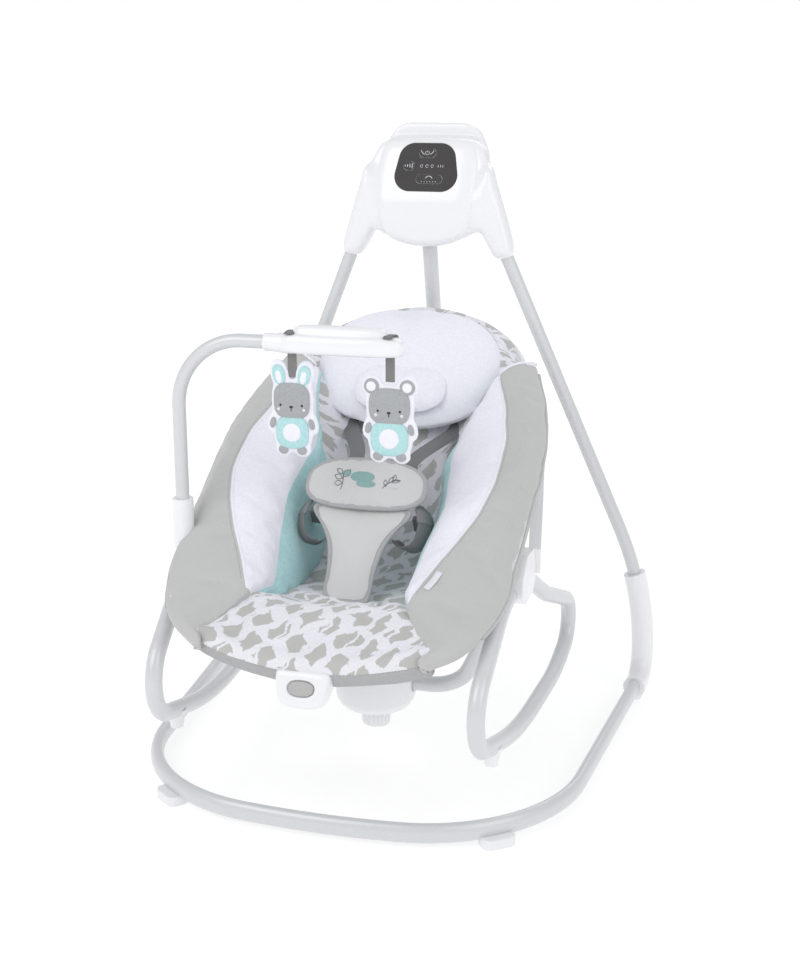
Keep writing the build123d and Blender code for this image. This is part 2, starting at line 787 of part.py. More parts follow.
# Rocker tubes: closed loops in upright planes that toe out to the rear
toe = math.tan(math.radians(rocker_toe_out))


def on_rocker(y, z):
    return (rocker_x + (y - rocker_x_at_y) * toe, y, z)


rocker_corners = [on_rocker(y, z) for y, z, radius in rocker_path]
rocker_wire = FilletPolyline(*rocker_corners, radius=[radius for y, z, radius in rocker_path[1:-1]])
right_rocker_tube = pipe(rocker_wire, rocker_radius)
left_rocker_tube = mirrored(right_rocker_tube)
rocker_bar = rod(rocker_wire, rocker_radius + fit_gap)
front_y, front_z = rocker_path[2][:2]
rear_y, rear_z = rocker_path[3][:2]
rocker_foot_z = front_z + (rear_z - front_z) * (rocker_foot_y - front_y) / (rear_y - front_y)
foot_cone = loft(
    [
        Circle(rocker_foot_low_radius),
        Pos(0, 0, rocker_foot_height) * Circle(rocker_foot_top_radius),
    ]
)
nub = Pos(*on_rocker(rocker_foot_y, rocker_foot_z - rocker_foot_height)) * foot_cone - rocker_bar
rocker_feet = Compound([nub.solids().sort_by(Axis.Z)[0], mirrored(nub.solids().sort_by(Axis.Z)[0])])

# Seat hoop in the rim plane: bowed front, corner arcs, long side arcs and a round head end
tilt = math.radians(seat_tilt)
seat_plane = Plane(
    origin=(0, seat_front_y, seat_front_z), x_dir=(1, 0, 0), z_dir=(0, -math.sin(tilt), math.cos(tilt))
)
side_centre = Vector(hoop_half_width - hoop_side_radius, hoop_wide_u)
head_step = math.sqrt((hoop_side_radius - hoop_head_radius) ** 2 - side_centre.X**2)
head_centre = Vector(0, hoop_wide_u + head_step)
front_centre = Vector(0, hoop_front_u + hoop_front_radius)


def circle_touching(centre_a, reach_a, centre_b, reach_b):
    """Centre at given distances from two points, on the right of the line from a to b."""
    across = centre_b - centre_a
    length = across.length
    axis = across.normalized()
    run = (length**2 + reach_a**2 - reach_b**2) / (2 * length)
    height = math.sqrt(reach_a**2 - run**2)
    return centre_a + axis * run + Vector(axis.Y, -axis.X) * height


corner = circle_touching(
    side_centre, hoop_side_radius - hoop_corner_radius, front_centre, hoop_front_radius - hoop_corner_radius
)


def arc_point(centre, through, radius):
    return centre + (through - centre).normalized() * radius


head_touch = side_centre + (head_centre - side_centre).normalized() * hoop_side_radius
corner_high = side_centre + (corner - side_centre).normalized() * hoop_side_radius
corner_low = front_centre + (corner - front_centre).normalized() * hoop_front_radius
corner_between = arc_point(corner, (corner_high + corner_low) * 0.5, hoop_corner_radius)
side_between = arc_point(side_centre, (head_touch + corner_high) * 0.5, hoop_side_radius)
hoop_end = arc_point(front_centre, Vector(hoop_open, hoop_front_u), hoop_front_radius)
front_between = arc_point(front_centre, (hoop_end + corner_low) * 0.5, hoop_front_radius)


def flip(point):
    return Vector(-point.X, point.Y)


hoop_path = seat_plane * Wire(
    [
        ThreePointArc(hoop_end, front_between, corner_low),
        ThreePointArc(corner_low, corner_between, corner_high),
        ThreePointArc(corner_high, side_between, head_touch),
        ThreePointArc(head_touch, head_centre + Vector(0, hoop_head_radius), flip(head_touch)),
        ThreePointArc(flip(head_touch), flip(side_between), flip(corner_high)),
        ThreePointArc(flip(corner_high), flip(corner_between), flip(corner_low)),
        ThreePointArc(flip(corner_low), flip(front_between), flip(hoop_end)),
    ]
)
seat_hoop = pipe(hoop_path, hoop_radius)
hoop_bar = rod(hoop_path, hoop_radius + fit_gap)
hoop_space = rod(hoop_path, hoop_radius + soft_gap)


def hoop_width_at(u):
    """Half width of the hoop's centre line at a distance from the front."""
    if u > head_touch.Y:
        return math.sqrt(hoop_head_radius**2 - (u - head_centre.Y) ** 2)
    if u > corner_high.Y:
        return side_centre.X + math.sqrt(hoop_side_radius**2 - (u - side_centre.Y) ** 2)
    return corner.X + math.sqrt(hoop_corner_radius**2 - (u - corner.Y) ** 2)


def seat_section(u):
    """Place across the seat at u, with x across and y out of the rim plane."""
    return seat_plane * Pos(0, u, 0) * Rot(90, 0, 0)


# Hubs and struts that carry the hoop
hub_x = on_rocker(cradle_plane.from_local_coords((0, cradle_rise, 0)).Y, 0)[0]
hub_face = make_face(FilletPolyline(*hub_outline, radius=hub_corner, close=True))
hub_block = Pos(hub_x - hub_thickness / 2, 0, 0) * extrude(Plane.YZ * hub_face, hub_thickness)
right_side_hub = hub_block - rocker_bar - cradle_bar
left_side_hub = mirrored(right_side_hub)
turn = math.radians(strut_turn)
strut_plane = Plane(
    origin=(hub_x + strut_outset, hub_outline[4][0], 0),
    x_dir=(-math.sin(turn), math.cos(turn), 0),
    z_dir=(math.cos(turn), math.sin(turn), 0),
)
strut_points = [((y - hub_outline[4][0]) / math.cos(turn), z) for y, z in strut_outline]
strut = extrude(strut_plane * polygon(strut_points), strut_thickness / 2, both=True)
right_seat_arm = strut - hub_block - hoop_bar - rocker_bar
left_seat_arm = mirrored(right_seat_arm)


# Soft seat: centre pads and side wings lofted through sections across the seat
def pad_face(u):
    half = along(pad_half_width, u)
    top = along(pad_depth, u)
    foot = half - pad_draw_in
    low = top - pad_thickness
    crown = ThreePointArc((-half, top), (0, top + pad_crown), (half, top))
    edges = [
        crown,
        Line((half, top), (foot, low)),
        Line((foot, low), (-foot, low)),
        Line((-foot, low), (-half, top)),
    ]
    return seat_section(u) * make_face(edges)


def wing_face(u):
    hoop_x = hoop_width_at(u)
    inner = along(pad_half_width, u) + soft_gap
    depth = along(pad_depth, u)
    outer = (hoop_x + wing_overhang, -wing_overhang / 4)
    shoulder = (along(wing_edge_x, u), along(wing_edge_h, u))
    crest = ((outer[0] + shoulder[0]) / 2, wing_crown)
    foot_in = (inner, depth - soft_gap)
    foot_out = (inner + wing_foot, depth - wing_foot_drop)
    bulge = ((shoulder[0] + foot_in[0]) / 2 - wing_bulge, (shoulder[1] + foot_in[1]) / 2)
    edges = [
        ThreePointArc(outer, crest, shoulder),
        ThreePointArc(shoulder, bulge, foot_in),
        Line(foot_in, foot_out),
        Line(foot_out, outer),
    ]
    return seat_section(u) * make_face(edges)


unit_plane = Plane(
    origin=(0, unit_y, unit_z),
    x_dir=(1, 0, 0),
    z_dir=(0, -math.cos(math.radians(unit_tilt)), math.sin(math.radians(unit_tilt))),
)
unit_body = extrude(unit_plane * RectangleRounded(unit_width, unit_height, unit_corner), -unit_depth)
clip_mid = (clip_low + clip_high) / 2
clip_face = Rectangle(clip_width, clip_high - clip_low)
clip = extrude(unit_plane * Pos(0, clip_mid, clip_front - unit_depth) * clip_face, unit_depth)
unit_outer = unit_body + clip
toy_socket_outer = cylinder_between(
    (toy_bar_x, toy_bar_y, toy_socket_low_z), (toy_bar_x, toy_bar_y, toy_socket_high_z), toy_socket_radius
)

seat_pad = loft([pad_face(u) for u in seat_pad_stations]) - unit_outer - hoop_space
back_pad = loft([pad_face(u) for u in back_pad_stations]) - hoop_space
wing_body = loft([wing_face(u) for u in wing_stations])
right_wing = wing_body - hoop_space - right_seat_arm - right_side_hub - seat_pad - back_pad
left_wing = mirrored(right_wing) - toy_socket_outer

# Headrest cushion on the back pad, with a smaller cradle cushion on it
headrest_place = seat_plane * Pos(0, headrest_u, headrest_h) * Rot(headrest_tilt, 0, 0)
headrest_low = headrest_place * Pos(0, 0, -headrest_thickness / 2)
headrest = cushion(headrest_low, headrest_half_width, headrest_half_length, headrest_thickness)
headrest = (headrest - back_pad - right_wing - left_wing - hoop_space).solids().sort_by(SortBy.VOLUME)[-1]
cradle_pad_plane = headrest_place * Pos(0, cradle_pad_shift, headrest_thickness / 2)
head_cradle = cushion(
    cradle_pad_plane, cradle_pad_half_width, cradle_pad_half_length, cradle_pad_thickness
) - headrest

# Harness: crotch pad, waist pad across its top, straps and buckles
harness_plane = Plane(
    origin=(0, *crotch_low),
    x_dir=(1, 0, 0),
    z_dir=(0, -math.sin(math.radians(harness_tilt)), math.cos(math.radians(harness_tilt))),
)
crotch_sides = [
    (crotch_low_width / 2, -crotch_thickness),
    (crotch_mid_width / 2, crotch_length / 2),
    (crotch_high_width / 2, crotch_length),
]
crotch_face = harness_plane * polygon(both_sides(crotch_sides))
waist_pad = cushion(
    harness_plane * Pos(0, waist_pad_at, soft_gap),
    waist_pad_half_width,
    waist_pad_half_height,
    waist_pad_thickness,
)
crotch_pad = extrude(crotch_face, -crotch_thickness) - seat_pad


def strap(start, end, width, thickness):
    """Flat strap between two points, its face turned to the front and up."""
    run = Vector(end) - Vector(start)
    across = run.cross(harness_plane.z_dir).normalized()
    plane = Plane(origin=start, x_dir=across, z_dir=run.normalized())
    return extrude(plane * Rectangle(width, thickness), run.length)


pad_top_h = along(pad_depth, shoulder_high[1]) - pad_thickness / 3
waist_mid = waist_pad_thickness / 2
shoulder_start = harness_plane.from_local_coords((*shoulder_low, waist_mid))
shoulder_end = seat_plane.from_local_coords((shoulder_high[0], shoulder_high[1], pad_top_h))
shoulder_strap = strap(shoulder_start, shoulder_end, strap_width, strap_thickness) - waist_pad - back_pad
waist_tip = waist_pad_half_width * cushion_inset
waist_start = harness_plane.from_local_coords((waist_tip, waist_pad_at, waist_mid))
waist_end = seat_plane.from_local_coords(
    (waist_strap_side[0], waist_strap_side[1], along(pad_depth, waist_strap_side[1]) - pad_thickness / 3)
)
waist_strap = strap(waist_start, waist_end, strap_width, strap_thickness)
waist_strap = waist_strap - waist_pad - back_pad - crotch_pad
waist_run = Vector(waist_end) - Vector(waist_start)
buckle_from = Vector(waist_start) + waist_run * buckle_share
buckle_run = waist_run.normalized() * buckle_length
buckle_body = strap(buckle_from, buckle_from + buckle_run, buckle_width, buckle_thickness)
right_buckle = buckle_body - waist_pad - right_wing - crotch_pad
waist_strap = waist_strap - buckle_body
straps = []
for piece in (shoulder_strap, waist_strap):
    for solid in piece.solids():
        straps += [solid, mirrored(solid)]
harness_straps = Compound(straps)
harness_buckles = Compound([right_buckle, mirrored(right_buckle)])

# Vibration unit: hollow box with a key on its face and a motor inside
key_outline = SlotOverall(unit_key_width, unit_key_height)
pocket_outline = SlotOverall(unit_key_width + 2 * key_gap, unit_key_height + 2 * key_gap)
pocket = extrude(unit_plane * pocket_outline, -unit_pocket_depth)
cavity_depth = unit_depth - unit_pocket_depth - 2 * unit_wall
cavity_outline = RectangleRounded(
    unit_width - 2 * unit_wall, unit_height - 2 * unit_wall, unit_corner - unit_wall
)
cavity_top = -unit_pocket_depth - unit_wall
cavity = extrude(unit_plane * Pos(0, 0, cavity_top) * cavity_outline, -cavity_depth)
vibration_housing = unit_outer - pocket - cavity - hoop_bar
key_low = unit_plane * Pos(0, 0, -unit_key_depth)
vibration_button = extrude(key_low * key_outline, unit_key_depth + unit_key_proud)
motor_mid = cavity_top - cavity_depth / 2
motor_end = unit_plane.from_local_coords((-motor_length / 2, 0, motor_mid))
motor_start = unit_plane.from_local_coords((motor_length / 2, 0, motor_mid))
vibration_motor = cylinder_between(motor_end, motor_start, motor_radius)

# Toy bar: upright tube turning in a socket on the hoop, bent over to a beam
toy_points = [
    (toy_bar_x, toy_bar_y, toy_tube_low_z),
    (toy_bar_x, toy_bar_y, toy_tube_z),
    (toy_tube_end_x, toy_bar_y, toy_tube_z),
]
toy_path = FilletPolyline(*toy_points, radius=toy_bend_radius)
toy_bar_tube = pipe(toy_path, toy_tube_radius)
socket_bore = cylinder_between(
    toy_points[0], (toy_bar_x, toy_bar_y, toy_socket_high_z), toy_tube_radius + shaft_clearance
)
toy_bar_socket = toy_socket_outer - socket_bore - hoop_bar
beam_sections = []
for z, share in ((beam_low_z, beam_low_scale), (beam_lip_z, 1.0), (beam_top_z, beam_top_scale)):
    depth = beam_depth * share
    outline = RectangleRounded(2 * beam_half_length * share, depth, depth * beam_corner_share)
    beam_sections.append(Pos(0, toy_bar_y, z) * outline)
beam = loft(beam_sections[:2]) + loft(beam_sections[1:])
collar_start = (beam_collar_end_x, toy_bar_y, toy_tube_z)
beam += cylinder_between(collar_start, toy_points[-1], beam_collar_radius) & block(
    (beam_collar_end_x, toy_tube_end_x),
    (toy_bar_y - beam_depth, toy_bar_y + beam_depth),
    (beam_low_z, beam_top_z),
)
toy_bar_beam = beam - rod(toy_path, toy_tube_radius + fit_gap)


# Toys: flat stuffed rabbit and bear, each on its ribbon under the beam
def pair(x, offset_x, sections):
    return [plush(x - offset_x, sections), plush(x + offset_x, sections)]


def toy(x, head, ears, ear_x, body, arms, arm_x, feet, foot_x):
    """Head with its ears, body, limbs and ribbon of one toy."""
    head_body = plush(x, head)
    for ear in pair(x, ear_x, ears):
        head_body += ear
    torso = plush(x, body) - head_body
    limbs = []
    for limb in pair(x, arm_x, arms) + pair(x, foot_x, feet):
        limbs.append((limb - torso - head_body).solids().sort_by(SortBy.VOLUME)[-1])
    top = block(
        (x - ribbon_width / 2, x + ribbon_width / 2),
        (toy_bar_y - ribbon_thickness / 2, toy_bar_y + ribbon_thickness / 2),
        (head[-1][0] - ribbon_width / 4, beam_low_z - ribbon_gap),
    )
    ribbon = (top - head_body).solids().sort_by(Axis.Z)[-1]
    return head_body, torso, Compound(limbs), ribbon


rabbit_head, rabbit_body, rabbit_limbs, rabbit_ribbon = toy(-toy_x, **rabbit_shape)
bear_head, bear_body, bear_limbs, bear_ribbon = toy(toy_x, **bear_shape)

parts = {
    "base_tube": base_tube,
    "left_leg_tube": left_leg_tube,
    "right_leg_tube": right_leg_tube,
    "left_leg_elbow": left_leg_elbow,
    "right_leg_elbow": right_leg_elbow,
    "floor_feet": floor_feet,
    "head_front_shell": head_front_shell,
    "head_rear_shell": head_rear_shell,
    "control_lens": control_lens,
    "control_board": control_board,
    "speaker": speaker,
    "drive_coil": drive_coil,
    "pivot_bushes": pivot_bushes,
    "battery_cells": battery_cells,
    "head_screws": head_screws,
    "battery_door": battery_door,
    "pivot_shaft": pivot_shaft,
    "arm_yoke": arm_yoke,
    "drive_magnet": drive_magnet,
    "arm_upper_tube": arm_upper_tube,
    "arm_lower_tube": arm_lower_tube,
    "dock_bowl": dock_bowl,
    "release_knob": release_knob,
    "cradle_tube": cradle_tube,
    "dock_saddle": dock_saddle,
    "left_side_hub": left_side_hub,
    "right_side_hub": right_side_hub,
    "left_rocker_tube": left_rocker_tube,
    "right_rocker_tube": right_rocker_tube,
    "rocker_feet": rocker_feet,
    "seat_hoop": seat_hoop,
    "left_seat_arm": left_seat_arm,
    "right_seat_arm": right_seat_arm,
    "seat_pad": seat_pad,
    "back_pad": back_pad,
    "left_wing": left_wing,
    "right_wing": right_wing,
    "headrest": headrest,
    "head_cradle": head_cradle,
    "crotch_pad": crotch_pad,
    "waist_pad": waist_pad,
    "harness_straps": harness_straps,
    "harness_buckles": harness_buckles,
    "vibration_housing": vibration_housing,
    "vibration_motor": vibration_motor,
    "vibration_button": vibration_button,
    "toy_bar_socket": toy_bar_socket,
    "toy_bar_tube": toy_bar_tube,
    "toy_bar_beam": toy_bar_beam,
    "rabbit_ribbon": rabbit_ribbon,
    "rabbit_head": rabbit_head,
    "rabbit_body": rabbit_body,
    "rabbit_limbs": rabbit_limbs,
    "bear_ribbon": bear_ribbon,
    "bear_head": bear_head,
    "bear_body": bear_body,
    "bear_limbs": bear_limbs,
    **buttons,
}
os.makedirs("parts", exist_ok=True)
for name, shape in parts.items():
    export_step(shape, f"parts/{name}.step")
    print(name, len(shape.solids()), round(sum(solid.volume for solid in shape.solids()) / 1000, 1), "cm3")
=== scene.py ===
# %% [markdown]
# # A baby swing, dressed for the camera
# The construction file holds the swing as exact solids, and this lesson gives those solids
# their finishes and sews the soft goods. Every length below is in millimetres on the seat or
# the frame, and is turned into metres only when a mesh is made.

# %% Load the frame
import math
import bmesh
import bpy
import numpy as np
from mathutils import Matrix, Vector, noise
from mathutils.bvhtree import BVHTree


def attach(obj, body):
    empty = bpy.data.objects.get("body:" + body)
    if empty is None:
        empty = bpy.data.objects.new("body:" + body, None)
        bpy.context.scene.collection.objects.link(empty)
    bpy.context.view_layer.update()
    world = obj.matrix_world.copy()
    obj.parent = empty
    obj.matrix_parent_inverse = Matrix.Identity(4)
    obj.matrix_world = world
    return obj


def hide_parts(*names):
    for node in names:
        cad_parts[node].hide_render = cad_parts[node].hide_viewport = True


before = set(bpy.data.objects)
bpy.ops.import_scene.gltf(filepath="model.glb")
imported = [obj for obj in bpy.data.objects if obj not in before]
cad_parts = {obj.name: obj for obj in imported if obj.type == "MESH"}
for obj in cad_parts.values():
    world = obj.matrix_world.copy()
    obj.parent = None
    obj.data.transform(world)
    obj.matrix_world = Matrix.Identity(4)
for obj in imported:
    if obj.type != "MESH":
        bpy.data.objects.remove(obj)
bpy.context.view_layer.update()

# %% [markdown]
# ## Camera and studio
# A catalogue picture is taken from a little above and a little to one side, with a long lens so
# that the feet do not spread. A pale floor catches a soft shadow, and what lies beyond the
# floor is plain white. Two big soft lamps and a bright room leave no hard edges on the paint.

# %% Camera and studio
scene = bpy.context.scene
scene.view_settings.view_transform = "Standard"

CAMERA_PLACE = (0.629, -2.142, 1.060)
CAMERA_TURN = (math.radians(90 - 15.660), 0, math.radians(15.589))
camera = bpy.data.objects.new("camera", bpy.data.cameras.new("camera"))
camera.location, camera.rotation_euler = CAMERA_PLACE, CAMERA_TURN
camera.data.lens, camera.data.sensor_width = 54.55, 36
scene.collection.objects.link(camera)
scene.camera = camera


def lamp(name, place, aim, size, watts):
    """A square soft box at one place, facing another."""
    light = bpy.data.lights.new(name, "AREA")
    light.size, light.energy = size, watts
    box = bpy.data.objects.new(name, light)
    box.location = place
    box.rotation_euler = (Vector(aim) - Vector(place)).to_track_quat("-Z", "Y").to_euler()
    scene.collection.objects.link(box)
    return box


def socket(node, name, value):
    """Write one constant on a shader socket."""
    node.inputs[name].default_value = value


def new_tree(name):
    """An empty material and its node tree."""
    material = bpy.data.materials.new(name)
    material.use_nodes = True
    material.node_tree.nodes.clear()
    return material, material.node_tree


def srgb(red, green, blue):
    """A screen colour, 0 to 255, as the linear colour a shader wants."""
    values = [channel / 255 for channel in (red, green, blue)]
    return [v / 12.92 if v <= 0.04045 else ((v + 0.055) / 1.055) ** 2.4 for v in values] + [1]


WORLD_LIGHT = 0.70
world = bpy.data.worlds.new("room")
scene.world = world
world.use_nodes = True
room = world.node_tree
room.nodes.clear()
sky = room.nodes.new("ShaderNodeBackground")
white = room.nodes.new("ShaderNodeBackground")
seen = room.nodes.new("ShaderNodeLightPath")
mix = room.nodes.new("ShaderNodeMixShader")
out = room.nodes.new("ShaderNodeOutputWorld")
socket(sky, "Strength", WORLD_LIGHT)
socket(sky, "Color", (0.97, 0.98, 1, 1))
socket(white, "Color", (1, 1, 1, 1))
room.links.new(seen.outputs["Is Camera Ray"], mix.inputs[0])
room.links.new(sky.outputs[0], mix.inputs[1])
room.links.new(white.outputs[0], mix.inputs[2])
room.links.new(mix.outputs[0], out.inputs[0])

FLOOR_HALF, FLOOR_SHARE = 40.0, 0.45
GLOW_NEAR, GLOW_FAR, GLOW_REACH = 1.36, 1.66, (0.8, 4.0)
floor_mesh = bpy.data.meshes.new("floor")
corners = [(x * FLOOR_HALF, y * FLOOR_HALF, -0.0005) for x, y in ((-1, -1), (1, -1), (1, 1), (-1, 1))]
floor_mesh.from_pydata(corners, [], [(0, 1, 2, 3)])
floor = bpy.data.objects.new("floor", floor_mesh)
scene.collection.objects.link(floor)
floor_material, tree = new_tree("studio_floor")
paint = tree.nodes.new("ShaderNodeBsdfDiffuse")
socket(paint, "Color", (0.9, 0.9, 0.9, 1))
glow = tree.nodes.new("ShaderNodeEmission")
place = tree.nodes.new("ShaderNodeTexCoord")
reach = tree.nodes.new("ShaderNodeVectorMath")
reach.operation = "LENGTH"
rise = tree.nodes.new("ShaderNodeMapRange")
for label, value in (("From Min", GLOW_REACH[0]), ("From Max", GLOW_REACH[1]), ("To Min", GLOW_NEAR),
                     ("To Max", GLOW_FAR)):
    socket(rise, label, value)
tree.links.new(place.outputs["Object"], reach.inputs[0])
tree.links.new(reach.outputs["Value"], rise.inputs["Value"])
tree.links.new(rise.outputs["Result"], glow.inputs["Strength"])
blend = tree.nodes.new("ShaderNodeMixShader")
socket(blend, "Fac", FLOOR_SHARE)
end = tree.nodes.new("ShaderNodeOutputMaterial")
tree.links.new(paint.outputs[0], blend.inputs[1])
tree.links.new(glow.outputs[0], blend.inputs[2])
tree.links.new(blend.outputs[0], end.inputs[0])
floor_mesh.materials.append(floor_material)

key = lamp("key", (-1.5, -2.3, 2.6), (0, -0.1, 0.4), 2.2, 29)
fill = lamp("fill", (2.4, -1.4, 1.9), (0, 0, 0.5), 2.0, 14)
back = lamp("back", (0.4, 2.4, 2.4), (0, 0.1, 0.5), 1.8, 12)
print("studio lamps:", key.data.energy, fill.data.energy, back.data.energy, "watts")

# %% [markdown]
# ## Shared effects
# Three effects come back on many finishes: a slow mottle, a heather of light and dark fibres,
# and a plush nap. Each is a node group with named inputs, so a finish asks for a scale and a
# strength and receives a colour and a normal back.


# %% Shared effects
def group(name, inputs, outputs):
    """An empty shader node group with its named sockets and its two end nodes."""
    tree = bpy.data.node_groups.new(name, "ShaderNodeTree")
    for label, kind, value in inputs:
        entry = tree.interface.new_socket(label, in_out="INPUT", socket_type=kind)
        entry.default_value = value
    for label, kind in outputs:
        tree.interface.new_socket(label, in_out="OUTPUT", socket_type=kind)
    return tree, tree.nodes.new("NodeGroupInput"), tree.nodes.new("NodeGroupOutput")


FLOAT, COLOUR, VECTOR = "NodeSocketFloat", "NodeSocketColor", "NodeSocketVector"


def speckle_group(name, detail, distance):
    """Noise in object space that mixes two colours and raises a bump."""
    tree, start, end = group(
        name,
        [("Dark", COLOUR, (0, 0, 0, 1)), ("Light", COLOUR, (1, 1, 1, 1)),
         ("Scale", FLOAT, 300.0), ("Bump", FLOAT, 0.3)],
        [("Colour", COLOUR), ("Normal", VECTOR)])
    where = tree.nodes.new("ShaderNodeTexCoord")
    grain = tree.nodes.new("ShaderNodeTexNoise")
    socket(grain, "Detail", detail)
    ramp = tree.nodes.new("ShaderNodeMapRange")
    for label, value in (("From Min", 0.3), ("From Max", 0.7)):
        socket(ramp, label, value)
    tint = tree.nodes.new("ShaderNodeMix")
    tint.data_type = "RGBA"
    bump = tree.nodes.new("ShaderNodeBump")
    socket(bump, "Distance", distance)
    tree.links.new(where.outputs["Object"], grain.inputs["Vector"])
    tree.links.new(start.outputs["Scale"], grain.inputs["Scale"])
    tree.links.new(grain.outputs["Fac"], ramp.inputs["Value"])
    tree.links.new(ramp.outputs["Result"], tint.inputs["Factor"])
    tree.links.new(start.outputs["Dark"], tint.inputs[6])
    tree.links.new(start.outputs["Light"], tint.inputs[7])
    tree.links.new(grain.outputs["Fac"], bump.inputs["Height"])
    tree.links.new(start.outputs["Bump"], bump.inputs["Strength"])
    tree.links.new(tint.outputs[2], end.inputs["Colour"])
    tree.links.new(bump.outputs["Normal"], end.inputs["Normal"])
    return tree


mottle = speckle_group("mottle", 2.0, 0.0004)
heather = speckle_group("heather", 8.0, 0.0008)
nap = speckle_group("nap", 5.0, 0.0016)


def finish(name, effect, dark, light, scale, bump, roughness, **extra):
    """A Principled material fed by one of the shared effects."""
    material, tree = new_tree(name)
    source = tree.nodes.new("ShaderNodeGroup")
    source.node_tree = effect
    for label, value in (("Dark", dark), ("Light", light), ("Scale", scale), ("Bump", bump)):
        socket(source, label, value)
    skin = tree.nodes.new("ShaderNodeBsdfPrincipled")
    socket(skin, "Roughness", roughness)
    for label, value in extra.items():
        socket(skin, label.replace("_", " "), value)
    end = tree.nodes.new("ShaderNodeOutputMaterial")
    tree.links.new(source.outputs["Colour"], skin.inputs["Base Color"])
    tree.links.new(source.outputs["Normal"], skin.inputs["Normal"])
    tree.links.new(skin.outputs[0], end.inputs[0])
    return material


# %% [markdown]
# ## Finishes
# The frame is steel tube under silver-grey powder paint, the mouldings are glossy white
# plastic, and the covers are a grey heather knit, a white plush and a teal plush. The numbers
# are screen colours read from the picture and then set a little darker, because the
# studio light lifts them again.

# %% Finishes
silver_paint = finish("silver_paint", mottle, srgb(207, 209, 211), srgb(217, 219, 221),
                      900, 0.05, 0.34, Metallic=0.15, Coat_Weight=0.25, Coat_Roughness=0.2)
white_plastic = finish("white_plastic", mottle, srgb(238, 238, 241), srgb(241, 241, 243),
                       420, 0.015, 0.22, Coat_Weight=0.25)
foot_plastic = finish("foot_plastic", mottle, srgb(235, 235, 238), srgb(241, 241, 243),
                      700, 0.12, 0.5)
grey_plastic = finish("grey_plastic", mottle, srgb(176, 176, 174), srgb(184, 184, 182),
                      600, 0.08, 0.45)
dark_panel = finish("dark_panel", mottle, srgb(46, 43, 45), srgb(54, 51, 52),
                    20, 0.01, 0.3, Specular_IOR_Level=0.3)
inner_plastic = finish("inner_plastic", mottle, srgb(120, 122, 125), srgb(130, 132, 135),
                       400, 0.1, 0.55)
inner_steel = finish("inner_steel", mottle, srgb(150, 152, 155), srgb(172, 174, 178),
                     500, 0.06, 0.35, Metallic=0.9)
buckle_plastic = finish("buckle_plastic", mottle, srgb(120, 120, 122), srgb(130, 130, 132),
                        500, 0.08, 0.4)
grey_knit = finish("grey_knit", heather, srgb(186, 186, 185), srgb(197, 197, 196),
                   900, 0.2, 0.95, Sheen_Weight=0.25, Sheen_Roughness=0.5)
white_plush = finish("white_plush", nap, srgb(235, 235, 244), srgb(243, 243, 250),
                     260, 0.4, 0.95, Sheen_Weight=0.35, Sheen_Roughness=0.5)
teal_plush = finish("teal_plush", nap, srgb(170, 214, 216), srgb(190, 228, 230),
                    260, 0.5, 0.95, Sheen_Weight=0.35, Sheen_Roughness=0.5)
pad_knit = finish("pad_knit", heather, srgb(204, 204, 203), srgb(214, 214, 213),
                  900, 0.2, 0.95, Sheen_Weight=0.2, Sheen_Roughness=0.5)
binding_knit = finish("binding_knit", heather, srgb(168, 168, 169), srgb(182, 182, 183),
                      500, 0.3, 0.9)
webbing = finish("webbing", heather, srgb(108, 108, 109), srgb(128, 128, 129),
                 700, 0.4, 0.8)
print("finishes:", len(bpy.data.materials))

NODE_FINISH = {
    silver_paint: ["base_tube", "left_leg_tube", "right_leg_tube", "arm_upper_tube",
                   "arm_lower_tube", "cradle_tube", "left_rocker_tube", "right_rocker_tube",
                   "seat_hoop", "toy_bar_tube"],
    white_plastic: ["left_leg_elbow", "right_leg_elbow", "head_front_shell", "head_rear_shell",
                    "dock_bowl", "dock_saddle", "release_knob", "left_side_hub",
                    "right_side_hub", "vibration_housing", "toy_bar_socket", "toy_bar_beam",
                    "battery_door", "left_seat_arm", "right_seat_arm"],
    foot_plastic: ["floor_feet", "rocker_feet"],
    dark_panel: ["control_lens", "power_button", "sound_button", "speed_button"],
    grey_plastic: ["vibration_button"],
    inner_plastic: ["control_board", "speaker", "pivot_bushes", "battery_cells", "arm_yoke"],
    inner_steel: ["drive_coil", "head_screws", "pivot_shaft", "drive_magnet",
                  "vibration_motor"],
    buckle_plastic: ["harness_buckles"],
}


EDGE_WIDTH, EDGE_ANGLE, EDGE_STEPS = 0.0016, math.radians(38), 3
SOFT_EDGED = (white_plastic, foot_plastic, buckle_plastic)


def dress(nodes, material):
    """Give CAD nodes one finish; moulded plastic also gets a fine bevel that catches the light."""
    for name in nodes:
        node = bpy.data.objects[name]
        node.data.materials.clear()
        node.data.materials.append(material)
        if material in SOFT_EDGED:
            edge = node.modifiers.new("edge", "BEVEL")
            edge.width, edge.segments = EDGE_WIDTH, EDGE_STEPS
            edge.limit_method, edge.angle_limit = "ANGLE", EDGE_ANGLE


for material, nodes in NODE_FINISH.items():
    dress(nodes, material)

# %% [markdown]
# ## The seat's own directions
# The seat leans back, so its parts are easiest to describe along the lean: u runs up the seat
# from the front edge, h stands square off the plane of the hoop, and x runs to the side. One
# function turns those three into the frame's directions. A second helper draws a smooth curve
# through a short table of measured values.

# %% Seat directions and curves
SEAT_FRONT = (-377, 284)
SEAT_LEAN = math.radians(30)


def seat(x, u, h):
    """Points on the leaning seat, in metres."""
    x, u, h = np.broadcast_arrays(*(np.asarray(v, float) for v in (x, u, h)))
    y = SEAT_FRONT[0] + u * math.cos(SEAT_LEAN) - h * math.sin(SEAT_LEAN)
    z = SEAT_FRONT[1] + u * math.sin(SEAT_LEAN) + h * math.cos(SEAT_LEAN)
    return np.stack([x, y, z], -1) / 1000


